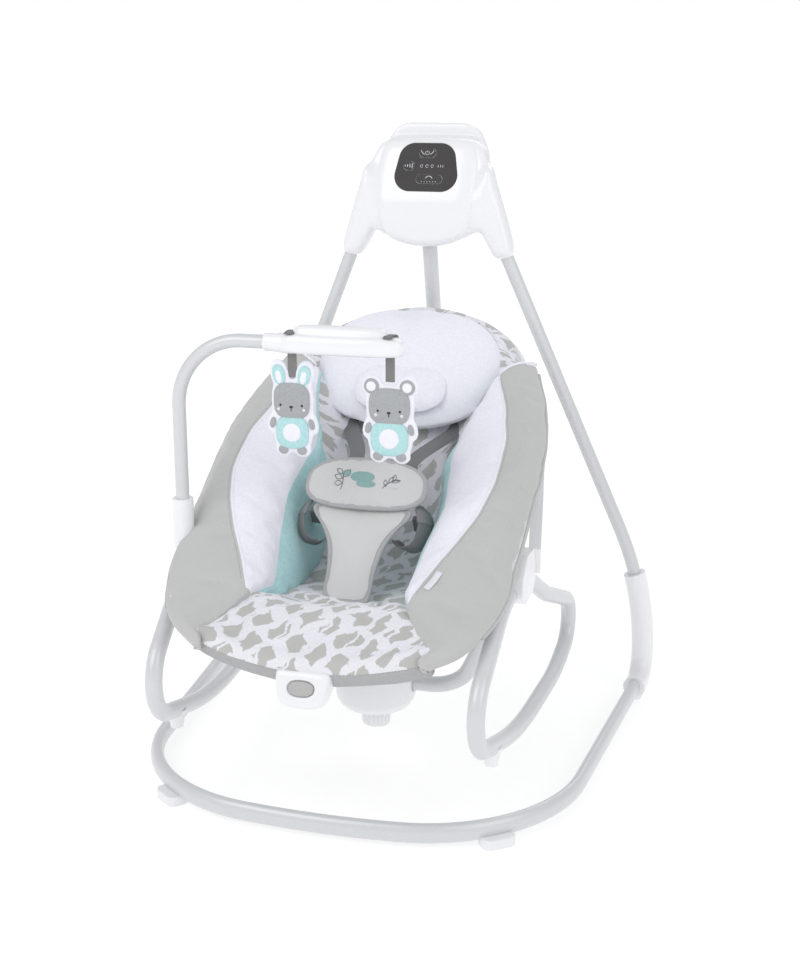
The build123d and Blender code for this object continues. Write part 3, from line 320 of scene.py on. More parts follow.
def curve(table, at):
    """A smooth curve through (place, value) pairs, without overshoot."""
    knots, values = (np.array(column, float) for column in zip(*table))
    step = np.diff(knots)
    slope = np.diff(values) / step
    tangent = np.zeros(len(knots))
    tangent[0], tangent[-1] = slope[0], slope[-1]
    for i in range(1, len(knots) - 1):
        if slope[i - 1] * slope[i] > 0:
            tangent[i] = 2 * slope[i - 1] * slope[i] / (slope[i - 1] + slope[i])
    at = np.clip(np.asarray(at, float), knots[0], knots[-1])
    i = np.clip(np.searchsorted(knots, at) - 1, 0, len(step) - 1)
    t = (at - knots[i]) / step[i]
    return ((2 * t**3 - 3 * t**2 + 1) * values[i] + (t**3 - 2 * t**2 + t) * step[i] * tangent[i]
            + (3 * t**2 - 2 * t**3) * values[i + 1] + (t**3 - t**2) * step[i] * tangent[i + 1])


def build(name, points, faces, body, materials, picks=None, uvs=None):
    """A smooth mesh on a body, from points in metres and faces by index."""
    mesh = bpy.data.meshes.new(name)
    mesh.from_pydata([tuple(p) for p in np.asarray(points).reshape(-1, 3)], [], faces)
    for material in materials:
        mesh.materials.append(material)
    if picks is not None:
        mesh.polygons.foreach_set("material_index", picks)
    mesh.polygons.foreach_set("use_smooth", [True] * len(mesh.polygons))
    if uvs is not None:
        layer = mesh.uv_layers.new(name="UVMap")
        flat = np.asarray(uvs, float).reshape(-1, 2)
        index = np.empty(len(mesh.loops), int)
        mesh.loops.foreach_get("vertex_index", index)
        layer.data.foreach_set("uv", flat[index].ravel())
    work = bmesh.new()
    work.from_mesh(mesh)
    bmesh.ops.recalc_face_normals(work, faces=work.faces)
    work.to_mesh(mesh)
    work.free()
    piece = bpy.data.objects.new(name, mesh)
    scene.collection.objects.link(piece)
    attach(piece, body)
    return piece


def smooth(piece, levels=1):
    """One subdivision, the same in the view and the render."""
    change = piece.modifiers.new("smooth", "SUBSURF")
    change.levels = change.render_levels = levels
    return piece


def ring_faces(rows, columns, capped=True):
    """Quads round a tube of closed rings, with a cap of triangles at each end."""
    faces, picks = [], []
    for r in range(rows - 1):
        for c in range(columns):
            n = (c + 1) % columns
            faces.append((r * columns + c, r * columns + n,
                          (r + 1) * columns + n, (r + 1) * columns + c))
            picks.append(c)
    if capped:
        first, last = rows * columns, rows * columns + 1
        for c in range(columns):
            n = (c + 1) % columns
            faces += [(first, n, c), (last, (rows - 1) * columns + c, (rows - 1) * columns + n)]
            picks += [c, c]
    return faces, picks


# %% [markdown]
# ## Filling soft pieces
# Stuffing pushes cloth outwards everywhere except where thread holds it, and the cloth, cut a
# little large, puckers beside the thread. The cloth solver does exactly that: a copy of the piece is
# pinned along its seams, blown up with a low pressure and let settle without gravity, and the
# settled points go back into the piece. A cap keeps each point near the measured shape.

# %% Filling soft pieces
FILL_FRAMES, FILL_EASE = 20, -0.025


def fill(piece, held, pressure=4.0, cap=0.006, ease=FILL_EASE):
    """Let the cloth solver stuff a piece that is held at some of its points."""
    count = len(piece.data.vertices)
    before, after = np.empty(count * 3), np.empty(count * 3)
    piece.data.vertices.foreach_get("co", before)
    twin = bpy.data.objects.new(f"{piece.name}_filling", piece.data.copy())
    scene.collection.objects.link(twin)
    twin.vertex_groups.new(name="seams").add([int(i) for i in held], 1.0, "ADD")
    solver = twin.modifiers.new("filling", "CLOTH")
    solver.settings.quality = 6
    solver.settings.mass = 0.25
    solver.settings.bending_stiffness = 0.4
    solver.settings.use_pressure = True
    solver.settings.uniform_pressure_force = pressure
    solver.settings.shrink_min = ease
    solver.settings.vertex_group_mass = "seams"
    solver.settings.effector_weights.gravity = 0
    solver.collision_settings.use_collision = False
    solver.point_cache.frame_end = FILL_FRAMES
    for number in range(1, FILL_FRAMES + 1):
        scene.frame_set(number)
    settled = twin.evaluated_get(bpy.context.evaluated_depsgraph_get()).data
    settled.vertices.foreach_get("co", after)
    scene.frame_set(1)
    old = twin.data
    bpy.data.objects.remove(twin)
    bpy.data.meshes.remove(old)
    move = np.nan_to_num((after - before).reshape(-1, 3))
    size = np.linalg.norm(move, axis=1, keepdims=True)
    move *= cap * np.tanh(size / cap) / np.maximum(size, 1e-9)
    piece.data.vertices.foreach_set("co", before + move.ravel())
    piece.data.update()
    print(f"{piece.name}: filled, moved up to {size.max() * 1000:.1f} mm before the cap of {cap * 1000:.0f} mm")
    return piece


# %% [markdown]
# ## The wings
# Each side of the seat is a padded wing: a grey knit panel folds over the hoop, a white plush
# crescent is sewn to it, and a teal panel drops from the crescent to the floor of the seat. The
# wing is laid out as one closed grid whose columns run along the seams, so each colour stops
# exactly on a seam, and every panel is crowned between its seams as stuffing would crown it.

# %% The wings
# Tables along the seat: (u, x) and (u, h) of the outer edge, the seams and the foot.
WING_OUT_X = [(22, 168), (34, 186), (52, 210), (74, 226), (116, 243), (169, 253), (210, 254), (292, 255),
              (347, 257), (389, 258), (440, 255), (493, 248), (544, 236), (600, 216), (640, 202)]
GREY_SEAM_X = [(22, 158), (40, 160), (70, 146), (100, 127), (118, 119), (136, 126), (176, 144), (233, 172),
               (285, 193), (345, 204), (413, 204), (482, 192), (529, 180), (580, 164), (612, 155)]
GREY_SEAM_H = [(22, 0), (70, 3), (100, 6), (118, 9), (136, 15), (176, 22), (233, 29), (285, 34), (345, 37),
               (413, 34), (482, 26), (529, 20), (580, 12), (612, 5)]
TEAL_SEAM_X = [(22, 158), (40, 160), (70, 146), (100, 127), (118, 118), (150, 108), (172, 104), (215, 108),
               (267, 115), (335, 123), (400, 118), (440, 111), (470, 114), (509, 125), (552, 137),
               (612, 150)]
TEAL_SEAM_H = [(22, -2), (70, 0), (100, 0), (118, -2), (150, -24), (172, -40), (215, -30), (267, -16),
               (335, -12), (400, -10), (440, -14), (470, -14), (509, -5), (552, -1), (612, 2)]
FLOOR_HALF_X = [(22, 157), (40, 158), (70, 144), (100, 125), (118, 116), (150, 104), (172, 97), (215, 93),
                (267, 92), (335, 92), (400, 92), (430, 97), (456, 104), (470, 109), (509, 121), (552, 134),
                (612, 147)]
FLOOR_EDGE_H = [(22, -6), (70, -6), (100, -8), (118, -14), (150, -40), (172, -64), (215, -100), (267, -132),
                (335, -152), (400, -120), (430, -66), (456, -28), (470, -24), (509, -14), (552, -10),
                (612, -6)]
WING_LOW_X = [(22, 160), (60, 190), (100, 196), (182, 156), (256, 142), (344, 140), (454, 150),
              (555, 160), (612, 166)]
WING_LOW_H = [(22, -16), (60, -26), (100, -46), (182, -90), (256, -146), (344, -174), (454, -100),
              (555, -60), (612, -36)]
WING_FROM, WING_TO, WING_ROWS = 22, 612, 96
CREST_IN, CREST_UP = 18, 15
END_SLANT, SLANT_FROM, PLUSH_FROM = 0.54, 480, 116
PANELS = {"grey": (15, 7), "white": (12, 11), "teal": (8, 7)}


def crowned(start, end, columns, crown):
    """Columns from one seam to the next, pushed out square to the panel between them."""
    start, end = np.asarray(start, float), np.asarray(end, float)
    t = np.arange(columns) / columns
    run = end - start
    length = max(np.hypot(*run), 1e-6)
    out = np.array([run[1], -run[0]]) / length
    puff = min(crown, 0.22 * length) * (4 * t * (1 - t)) ** 0.7
    return start + t[:, None] * run + puff[:, None] * out


def wing_section(u):
    """One closed section of the right wing, as x and h."""
    out = float(curve(WING_OUT_X, u))
    grey, teal, foot, low = ((float(curve(xs, u)), float(curve(hs, u))) for xs, hs in (
        (GREY_SEAM_X, GREY_SEAM_H), (TEAL_SEAM_X, TEAL_SEAM_H), (FLOOR_HALF_X, FLOOR_EDGE_H),
        (WING_LOW_X, WING_LOW_H)))
    crest = (max(out - CREST_IN, grey[0] + 1), max(CREST_UP, 0.6 * grey[1] - 2))
    roll = np.array([(out - 3, -14), (out, -5), (out - 1, 4), (out - 6, 10)])
    parts = [roll, crowned(crest, grey, PANELS["grey"][0] - len(roll), PANELS["grey"][1]),
             crowned(grey, teal, *PANELS["white"]), crowned(teal, foot, *PANELS["teal"]),
             crowned(foot, low, 3, 0), crowned(low, (out - 8, -17), 9, -14)]
    return np.vstack(parts)


WING_COLUMNS = len(wing_section(300))
EDGES = np.cumsum([PANELS["grey"][0], PANELS["white"][0], PANELS["teal"][0]])


def wrinkle(points, size, depth):
    """A small slow unevenness, the same on every run."""
    moved = points.copy()
    flat = moved.reshape(-1, 3)
    for p in flat:
        p += Vector(noise.noise_vector(Vector(p) / size)) * depth
    return moved


def wing(side, name, node):
    """The padded wing on one side of the seat."""
    stations = np.linspace(WING_FROM, WING_TO, WING_ROWS)
    sections = np.array([wing_section(u) for u in stations])
    ramp = np.clip((stations - SLANT_FROM) / (WING_TO - SLANT_FROM), 0, 1) ** 1.5 * END_SLANT
    lean = ramp[:, None] * (sections[..., 0] - GREY_SEAM_X[-1][1])
    points = seat(side * sections[..., 0], stations[:, None] + lean, sections[..., 1])
    points = wrinkle(points, 0.06, 0.0022)
    ends = [points[0].mean(axis=0), points[-1].mean(axis=0)]
    faces, columns = ring_faces(WING_ROWS, WING_COLUMNS)
    first_plush = int(np.searchsorted(stations, PLUSH_FROM)) * WING_COLUMNS
    picks = [int(np.searchsorted(EDGES, c, side="right")) for c in columns]
    last_plush = len(picks) - 2 * WING_COLUMNS
    picks = [p if p < 3 and first_plush <= i < last_plush else 0 for i, p in enumerate(picks)]
    piece = build(name, np.vstack([points.reshape(-1, 3), ends]), faces, "seat",
                  [grey_knit, white_plush, teal_plush], picks)
    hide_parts(node)
    column = np.arange(WING_ROWS * WING_COLUMNS) % WING_COLUMNS
    row = np.arange(WING_ROWS * WING_COLUMNS) // WING_COLUMNS
    sewn_down = (column < 2) | np.isin(column, EDGES) | (column > EDGES[-1]) | (row < 2) | (row > WING_ROWS - 3)
    held = np.r_[np.nonzero(sewn_down)[0], WING_ROWS * WING_COLUMNS, WING_ROWS * WING_COLUMNS + 1]
    return smooth(fill(piece, held, cap=0.005))


right_wing = wing(1, "right_wing_cover", "right_wing")
left_wing = wing(-1, "left_wing_cover", "left_wing")
print("wing sections have", WING_COLUMNS, "columns, seams after", list(EDGES))

# %% [markdown]
# ## The printed cover
# The middle of the cover is one long strip: it rolls over the front of the hoop, runs down into
# the bucket, climbs the back and rolls over the head end. Its print is a loose lattice of grey
# brush strokes on white. The strip carries a map in millimetres of cloth, so the print keeps
# its size along the whole strip, as it would on a cut length.


# %% The brush print
def calc(tree, operation, *values):
    """One Math node fed by sockets or numbers; returns its output."""
    node = tree.nodes.new("ShaderNodeMath")
    node.operation = operation
    for place, value in enumerate(values):
        if isinstance(value, (int, float)):
            node.inputs[place].default_value = value
        else:
            tree.links.new(value, node.inputs[place])
    return node.outputs[0]


BAND_RISE, BAND_STEP, BAND_SHARE = 0.80, 42.0, 0.31
STROKE_LEAN, STROKE_STEP, STROKE_SHARE = 0.62, 56.0, 0.38
SLASH_RISE, SLASH_STEP, SLASH_SHARE = 1.9, 96.0, 0.13
strokes, start, end = group("brush_print", [("Cloth", VECTOR, (0, 0, 0)), ("Rough", FLOAT, 0.3)],
                            [("Grey", FLOAT)])
split = strokes.nodes.new("ShaderNodeSeparateXYZ")
strokes.links.new(start.outputs["Cloth"], split.inputs[0])


def brush_noise(scale, detail):
    """Noise over the cloth, centred on zero."""
    ragged = strokes.nodes.new("ShaderNodeTexNoise")
    for label, value in (("Scale", scale), ("Detail", detail), ("Roughness", 0.62)):
        socket(ragged, label, value)
    strokes.links.new(start.outputs["Cloth"], ragged.inputs["Vector"])
    return calc(strokes, "SUBTRACT", ragged.outputs["Fac"], 0.5)


def stroke_edge(value, share):
    """One outside a white stroke, zero inside it, with a narrow soft edge."""
    edge = strokes.nodes.new("ShaderNodeMapRange")
    edge.interpolation_type = "SMOOTHSTEP"
    for label, number in (("From Min", share - 0.015), ("From Max", share + 0.015)):
        socket(edge, label, number)
    strokes.links.new(value, edge.inputs["Value"])
    return edge.outputs["Result"]


def stroke_away(value):
    """Distance from the nearest whole number, 0 to 0.5."""
    return calc(strokes, "ABSOLUTE", calc(strokes, "SUBTRACT", calc(strokes, "FRACT", value), 0.5))


shake = calc(strokes, "MULTIPLY", brush_noise(0.16, 5.0), start.outputs["Rough"])
sway = calc(strokes, "MULTIPLY", brush_noise(0.022, 1.0), 0.9)
drift = calc(strokes, "MULTIPLY", brush_noise(0.034, 1.0), 0.8)
climb = calc(strokes, "SUBTRACT", split.outputs["Y"], calc(strokes, "MULTIPLY", split.outputs["X"], BAND_RISE))
band = calc(strokes, "ADD", calc(strokes, "DIVIDE", climb, BAND_STEP), sway)
layer = calc(strokes, "FLOOR", band)
offset = calc(strokes, "MULTIPLY", layer, 0.37)
slant = calc(strokes, "ADD", split.outputs["X"], calc(strokes, "MULTIPLY", split.outputs["Y"], STROKE_LEAN))
along = calc(strokes, "ADD", calc(strokes, "DIVIDE", slant, STROKE_STEP), calc(strokes, "ADD", offset, drift))
long_edge = stroke_edge(calc(strokes, "SUBTRACT", calc(strokes, "SUBTRACT", 0.5, stroke_away(band)), shake),
                        BAND_SHARE / 2)
short_edge = stroke_edge(calc(strokes, "SUBTRACT", calc(strokes, "SUBTRACT", 0.5, stroke_away(along)), shake),
                         STROKE_SHARE / 2)
steep = calc(strokes, "SUBTRACT", split.outputs["Y"], calc(strokes, "MULTIPLY", split.outputs["X"], SLASH_RISE))
slash = calc(strokes, "ADD", calc(strokes, "DIVIDE", steep, SLASH_STEP), calc(strokes, "ADD", sway, drift))
slash_edge = stroke_edge(calc(strokes, "SUBTRACT", calc(strokes, "SUBTRACT", 0.5, stroke_away(slash)), shake),
                         SLASH_SHARE / 2)
patches = calc(strokes, "MULTIPLY", long_edge, short_edge)
strokes.links.new(calc(strokes, "MULTIPLY", patches, slash_edge), end.inputs["Grey"])

print_knit, tree = new_tree("print_knit")
cloth = tree.nodes.new("ShaderNodeUVMap")
cloth.uv_map = "UVMap"
mask = tree.nodes.new("ShaderNodeGroup")
mask.node_tree = strokes
socket(mask, "Rough", 0.22)
fibre = tree.nodes.new("ShaderNodeGroup")
fibre.node_tree = nap
for label, value in (("Dark", srgb(226, 226, 232)), ("Light", srgb(236, 236, 241)),
                     ("Scale", 300.0), ("Bump", 0.35)):
    socket(fibre, label, value)
stain = tree.nodes.new("ShaderNodeMix")
stain.data_type = "RGBA"
stain.inputs[7].default_value = srgb(188, 188, 185)
skin = tree.nodes.new("ShaderNodeBsdfPrincipled")
socket(skin, "Roughness", 0.95)
socket(skin, "Sheen Weight", 0.25)
end = tree.nodes.new("ShaderNodeOutputMaterial")
tree.links.new(cloth.outputs[0], mask.inputs["Cloth"])
tree.links.new(mask.outputs["Grey"], stain.inputs["Factor"])
tree.links.new(fibre.outputs["Colour"], stain.inputs[6])
tree.links.new(stain.outputs[2], skin.inputs["Base Color"])
tree.links.new(fibre.outputs["Normal"], skin.inputs["Normal"])
tree.links.new(skin.outputs[0], end.inputs[0])

# %% [markdown]
# ## The strip itself
# The strip could be draped from a flat sheet, but its shape is set by what it is sewn to: the hoop at
# both ends and the wings along both sides. So it is drawn row by row between those edges, given the
# thickness of its wadding, and then filled, which leaves the soft folds of a cover that sits loose.

# %% The printed strip
FRONT_RADIUS, HEAD_RADIUS, HEAD_CENTRE = 400, 202, 563.4
STRIP_HALF = [(-40, 172), (0, 172), (40, 168), (70, 152), (100, 134), (118, 126), (150, 112),
              (172, 106), (215, 102), (267, 100), (335, 100), (400, 100), (430, 104), (456, 111), (470, 116),
              (509, 128), (552, 141), (603, 156), (620, 172), (640, 187), (660, 181), (700, 176),
              (765, 172), (800, 168)]
STRIP_EDGE = [(-40, 0), (0, 6), (40, 0), (100, -3), (118, -8), (150, -36), (172, -58),
              (215, -92), (267, -124), (335, -144), (400, -112), (430, -60), (456, -24), (470, -18),
              (509, -8), (552, -4), (603, 0), (640, 4), (700, 5), (765, 5)]
STRIP_MIDDLE = [(-40, 0), (0, 6), (40, 9), (70, 7), (100, -2), (130, -22), (160, -52), (182, -74),
                (256, -124), (344, -150), (454, -124), (555, -82), (634, -52), (690, -28),
                (735, -8), (765, 4)]
# The rolled ends, as (u beyond the hoop, h), from the hem to the top of the hoop.
FRONT_ROLL = [(4, -40), (-3, -39), (-9, -35), (-12, -28), (-13, -16), (-12, -5), (-9, 5), (-3, 11), (6, 13)]
HEAD_ROLL = [(-8, 11), (2, 11), (9, 6), (12, -3), (11, -12), (5, -18), (-4, -19)]
# How square the trough of the strip is: a high power is flat in the middle.
STRIP_SQUARE = [(0, 2.2), (380, 2.2), (470, 4.5), (560, 4.5), (640, 2.6)]
STRIP_COLUMNS, HEM_ROWS = 48, 5
STRIP_THICK = 12


def strip_rows():
    """(u at the middle, h shift, how far the row follows the front arc and the head arc)."""
    rows = [(u, h, 1, 0) for u, h in FRONT_ROLL]
    for u in np.arange(16, 752, 7.0):
        rows.append((u, None, float(np.clip((150 - u) / 140, 0, 1)) ** 1.5,
                     float(np.clip((u - 600) / 150, 0, 1)) ** 1.5))
    return rows + [(HEAD_CENTRE + HEAD_RADIUS + u, h, 0, 1) for u, h in HEAD_ROLL]


def strip_points():
    """The top of the strip as a grid, and its map in millimetres of cloth."""
    share = np.linspace(-1, 1, STRIP_COLUMNS + 1)
    grid, length, last = [], [], None
    for u, h, front, head in strip_rows():
        flat = 0 if u < 100 else HEAD_CENTRE + HEAD_RADIUS
        x = share * float(curve(STRIP_HALF, u))
        bow = front * (FRONT_RADIUS - np.sqrt(FRONT_RADIUS**2 - x**2))
        dip = head * (HEAD_RADIUS - np.sqrt(HEAD_RADIUS**2 - np.minimum(abs(x), 190) ** 2))
        if h is None:
            middle, edge = float(curve(STRIP_MIDDLE, u)), float(curve(STRIP_EDGE, u))
            rise = np.abs(share) ** float(curve(STRIP_SQUARE, u))
            height = middle + (edge - middle) * rise
        else:
            height = np.full_like(x, h)
        grid.append(np.stack([x, u + 6 * (front > 0) + bow - dip, height], -1))
        length.append(0 if last is None else length[-1] + math.dist(last, grid[-1][len(x) // 2]))
        last = grid[-1][len(x) // 2]
    grid = np.array(grid)
    cloth = np.stack([grid[..., 0], np.repeat(np.array(length)[:, None], len(share), 1)], -1)
    return grid, cloth


def shell_faces(rows, columns):
    """Top, underside and rim of a closed sheet of rows by columns of points."""
    under = rows * columns
    faces, picks = [], []
    for r in range(rows - 1):
        for c in range(columns - 1):
            a, b, d, e = (r * columns + c, r * columns + c + 1,
                          (r + 1) * columns + c + 1, (r + 1) * columns + c)
            faces += [(a, b, d, e), (under + e, under + d, under + b, under + a)]
            picks += [r, r]
    rim = ([(0, c) for c in range(columns)] + [(r, columns - 1) for r in range(1, rows)]
           + [(rows - 1, c) for c in range(columns - 2, -1, -1)]
           + [(r, 0) for r in range(rows - 2, 0, -1)])
    loop = [r * columns + c for r, c in rim]
    for i, a in enumerate(loop):
        b = loop[(i + 1) % len(loop)]
        faces.append((b, a, under + a, under + b))
        picks.append(min(rim[i][0], rim[(i + 1) % len(rim)][0]))
    return faces, picks


def grid_normals(points):
    """Unit normals of a grid of points."""
    normal = np.cross(np.gradient(points, axis=1), np.gradient(points, axis=0))
    return normal / np.linalg.norm(normal, axis=-1, keepdims=True)


grid, cloth_map = strip_points()
top = wrinkle(seat(grid[..., 0], grid[..., 1], grid[..., 2]), 0.05, 0.0016)
facing = grid_normals(top)
facing *= np.sign((facing @ np.array([0, -0.5, 0.866])).mean())
low = top - facing * STRIP_THICK / 1000
rows, columns = top.shape[:2]
faces, face_rows = shell_faces(rows, columns)
paired = 2 * (rows - 1) * (columns - 1)
picks = [1 if r < HEM_ROWS else 2 if i < paired and i % 2 else 0 for i, r in enumerate(face_rows)]
strip = build("printed_cover", np.vstack([top.reshape(-1, 3), low.reshape(-1, 3)]), faces, "seat",
              [print_knit, binding_knit, grey_knit], picks, np.vstack([cloth_map.reshape(-1, 2)] * 2))
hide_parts("seat_pad", "back_pad")
spot = np.arange(rows * columns)
rolled = (spot // columns < len(FRONT_ROLL)) | (spot // columns >= rows - len(HEAD_ROLL))
sides = (spot % columns < 2) | (spot % columns > columns - 3)
smooth(fill(strip, np.r_[spot[rolled | sides], spot + rows * columns], 3.0, 0.007, -0.05))
print("printed strip:", round(cloth_map[..., 1].max()), "mm of cloth, rows", rows)

# %% [markdown]
# ## Moulded shells from distance fields
# A moulded cover is a few simple volumes that melt into one another with generous radii. A
# distance field says that directly: every volume is a function that is negative inside, a soft
# minimum joins two of them with a fillet, and a soft maximum cuts one by another with a rounded
# edge. The surface is then read off a grid of samples, one point per mixed cell.


# %% Distance fields
def soft_max(a, b, radius):
    """Cut with a rounded edge of about this radius."""
    blend = np.clip(0.5 + 0.5 * (a - b) / radius, 0, 1)
    return b * (1 - blend) + a * blend + radius * blend * (1 - blend)


def soft_min(a, b, radius):
    """Join with a fillet of about this radius."""
    return -soft_max(-a, -b, radius)


def rounded(points, turns=3):
    """A closed outline with its corners cut again and again until it is smooth."""
    points = np.asarray(points, float)
    for _ in range(turns):
        ahead = np.roll(points, -1, axis=0)
        points = np.stack([0.75 * points + 0.25 * ahead, 0.25 * points + 0.75 * ahead], 1)
        points = points.reshape(-1, 2)
    return points


def outline_distance(points, x, z):
    """Signed distance to a closed outline, negative inside."""
    best = np.full(x.shape, 1e9)
    inside = np.zeros(x.shape, bool)
    for (x0, z0), (x1, z1) in zip(points, np.roll(points, -1, axis=0)):
        run_x, run_z = x1 - x0, z1 - z0
        share = np.clip(((x - x0) * run_x + (z - z0) * run_z) / (run_x**2 + run_z**2 + 1e-9), 0, 1)
        best = np.minimum(best, (x - x0 - share * run_x) ** 2 + (z - z0 - share * run_z) ** 2)
        if z0 != z1:
            inside ^= ((z0 > z) != (z1 > z)) & (x < run_x * (z - z0) / (z1 - z0) + x0)
    return np.where(inside, -1, 1) * np.sqrt(best)


def box_distance(x, y, z, low, high):
    """Signed distance to a box between two corners, as the largest overshoot."""
    parts = [np.abs(v - (a + b) / 2) - (b - a) / 2 for v, a, b in zip((x, y, z), low, high)]
    return np.maximum(np.maximum(parts[0], parts[1]), parts[2])


def surface(field, low, high, step):
    """Points in metres and quads where a field crosses zero, one point per mixed cell."""
    axes = [np.arange(a, b + step, step) for a, b in zip(low, high)]
    grid = np.stack(np.meshgrid(*axes, indexing="ij"), -1)
    value = field(grid[..., 0], grid[..., 1], grid[..., 2])
    cells = tuple(n - 1 for n in value.shape)
    total, hits = np.zeros(cells + (3,)), np.zeros(cells)
    crossings = []
    for axis in range(3):
        lower = tuple(slice(0, -1) if i == axis else slice(None) for i in range(3))
        upper = tuple(slice(1, None) if i == axis else slice(None) for i in range(3))
        a, b = value[lower], value[upper]
        cross = (a < 0) != (b < 0)
        share = np.where(cross, a / np.where(cross, a - b, 1), 0)
        place = grid[lower].copy()
        place[..., axis] += share * step
        place = np.where(cross[..., None], place, 0)
        sides = [i for i in range(3) if i != axis]
        for first in (0, 1):
            for second in (0, 1):
                cut = [slice(None)] * 3
                cut[sides[0]] = slice(first, first + cells[sides[0]])
                cut[sides[1]] = slice(second, second + cells[sides[1]])
                total += place[tuple(cut)]
                hits += cross[tuple(cut)]
        crossings.append((axis, sides, cross, a < 0))
    mixed = hits > 0
    index = np.full(cells, -1)
    index[mixed] = np.arange(mixed.sum())
    points = total[mixed] / hits[mixed][:, None]
    quads = []
    for axis, sides, cross, starts_inside in crossings:
        for at in np.argwhere(cross):
            if any(at[s] == 0 or at[s] > cells[s] - 1 for s in sides):
                continue
            ring = []
            for first, second in ((0, 0), (1, 0), (1, 1), (0, 1)):
                cell = at.copy()
                cell[sides[0]] -= first
                cell[sides[1]] -= second
                ring.append(int(index[tuple(cell)]))
            quads.append(ring if starts_inside[tuple(at)] == (axis != 1) else ring[::-1])
    return points / 1000, quads


def relax(piece, turns, share=0.5):
    """Even out the small steps that the sampling grid leaves."""
    work = bmesh.new()
    work.from_mesh(piece.data)
    for _ in range(turns):
        bmesh.ops.smooth_vert(work, verts=work.verts, factor=share, use_axis_x=True, use_axis_y=True,
                              use_axis_z=True)
    work.to_mesh(piece.data)
    work.free()
    return piece


# %% [markdown]
# ## The motor head
# The drive sits in a white two-part cover. The front part is a shield with a leaning face for the
# control panel; the rear part carries the two leg sockets, and its rim stands up behind the face
# as a carrying handle. Both are glossy injection mouldings, so edges are soft and walls are thin.

# %% The motor head
FACE_Y, FACE_KNEE, FACE_SLOPE = 255, 858, math.tan(math.radians(20.2))
FACE_DEPTH, FACE_EDGE, WALL = 20, 15, 9
FACE_HALF = [(58, 958), (80, 950), (91, 920), (92, 880), (83, 818), (66, 797), (40, 786), (14, 782)]
BODY_HALF = [(50, 958), (86, 954), (101, 925), (103, 890), (96, 828), (80, 802), (46, 790), (14, 788)]
RIM_HALF = [(34, 979), (64, 979), (86, 964), (101, 930), (104, 890), (98, 828), (80, 802), (46, 790)]
SOCKET = [(102, 925), (118, 880), (150, 776), (144, 766), (124, 762), (114, 766), (92, 806), (72, 840)]
SOCKET_Y, RIM_FRONT, RIM_BACK, BACK_Y = (266, 312), 340, 384, 372
BACK_TAPER, RIM_WALL = 0.0022, 16
GRIP = ((-58, 358, 957), (58, 400, 972))
SLOT = ((-36, 262, 700), (36, 326, 812))
DOOR = ((-60.4, 364, 887.6), (60.4, 390, 943.4))
HEAD_LOW, HEAD_HIGH = (-160, 256, 754), (160, 394, 990)
HEAD_STEP = 2.4


def mirrored_outline(half):
    """A closed outline from its right half, top first."""
    return rounded(list(half) + [(-x, z) for x, z in reversed(half)])


BODY_LINE, RIM_LINE = mirrored_outline(BODY_HALF), mirrored_outline(RIM_HALF)
SOCKET_LINE = rounded(SOCKET, 2)


def face_front(x, z):
    """How far forward the face lies: upright below the knee, leaning back above it."""
    lean = 6 * np.logaddexp(0, (z - FACE_KNEE) / 6) * FACE_SLOPE
    return FACE_Y + 0.5 + lean + 9 * np.clip((np.abs(x) - 54) / 40, 0, 2) ** 2


def rear_field(x, y, z):
    """The rear cover with its sockets and rim."""
    narrow = x * (1 + BACK_TAPER * np.clip(y - 290, 0, None))
    body = soft_max(outline_distance(BODY_LINE, narrow, z),
                    np.maximum(face_front(0 * x, z) + 9 - y, y - BACK_Y), 12)
    rim_line = outline_distance(RIM_LINE, narrow, z)
    rim_front = np.interp(z, [800, 850, 905, 950, 990], [292, 290, 314, RIM_FRONT, RIM_FRONT])
    band = soft_max(rim_line, -rim_line - 13, 4)
    band = soft_max(band, np.maximum(rim_front - y, y - RIM_BACK), 5)
    wall = soft_max(rim_line, np.abs(y - RIM_FRONT - RIM_WALL / 2) - RIM_WALL / 2, 5)
    band = soft_max(soft_min(band, wall, 6), 850 - z, 20)
    sockets = soft_max(outline_distance(SOCKET_LINE, np.abs(x), z),
                       np.abs(y - sum(SOCKET_Y) / 2) - (SOCKET_Y[1] - SOCKET_Y[0]) / 2, 18)
    solid = soft_min(soft_min(body, band, 8), sockets, 16)
    solid = soft_max(solid, -box_distance(x, y, z, *GRIP), 3)
    shell = np.maximum(solid, -(solid + WALL))
    for cut in (SLOT, DOOR):
        shell = np.maximum(shell, -box_distance(x, y, z, *cut))
    return shell


rear_cover = relax(build("head_rear_cover", *surface(rear_field, HEAD_LOW, HEAD_HIGH, HEAD_STEP),
                         "stand", [white_plastic]), 6)
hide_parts("head_rear_shell")


def disc(outline, rings):
    """Points on a filled outline, ring by ring from the middle, with each ring's share."""
    outline = np.asarray(outline, float)
    middle = outline.mean(axis=0)
    shares = 1 - (1 - np.linspace(0, 1, rings + 1)[1:]) ** 1.6
    return middle, np.array([middle + s * (outline - middle) for s in shares]), shares


def disc_faces(rings, columns):
    """A closed cushion: front and back discs that share their outer ring."""
    faces = []
    back = rings * columns
    for r in range(rings - 1):
        for c in range(columns):
            n = (c + 1) % columns
            faces.append((r * columns + c, r * columns + n, (r + 1) * columns + n, (r + 1) * columns + c))
            outer = [(r + 1) * columns + k for k in (n, c)] if r == rings - 2 else [
                back + (r + 1) * columns + k for k in (n, c)]
            faces.append((back + r * columns + n, back + r * columns + c, outer[1], outer[0]))
    front_middle = back + (rings - 1) * columns
    for c in range(columns):
        n = (c + 1) % columns
        faces += [(front_middle, n, c), (front_middle + 1, back + c, back + n)]
    return faces


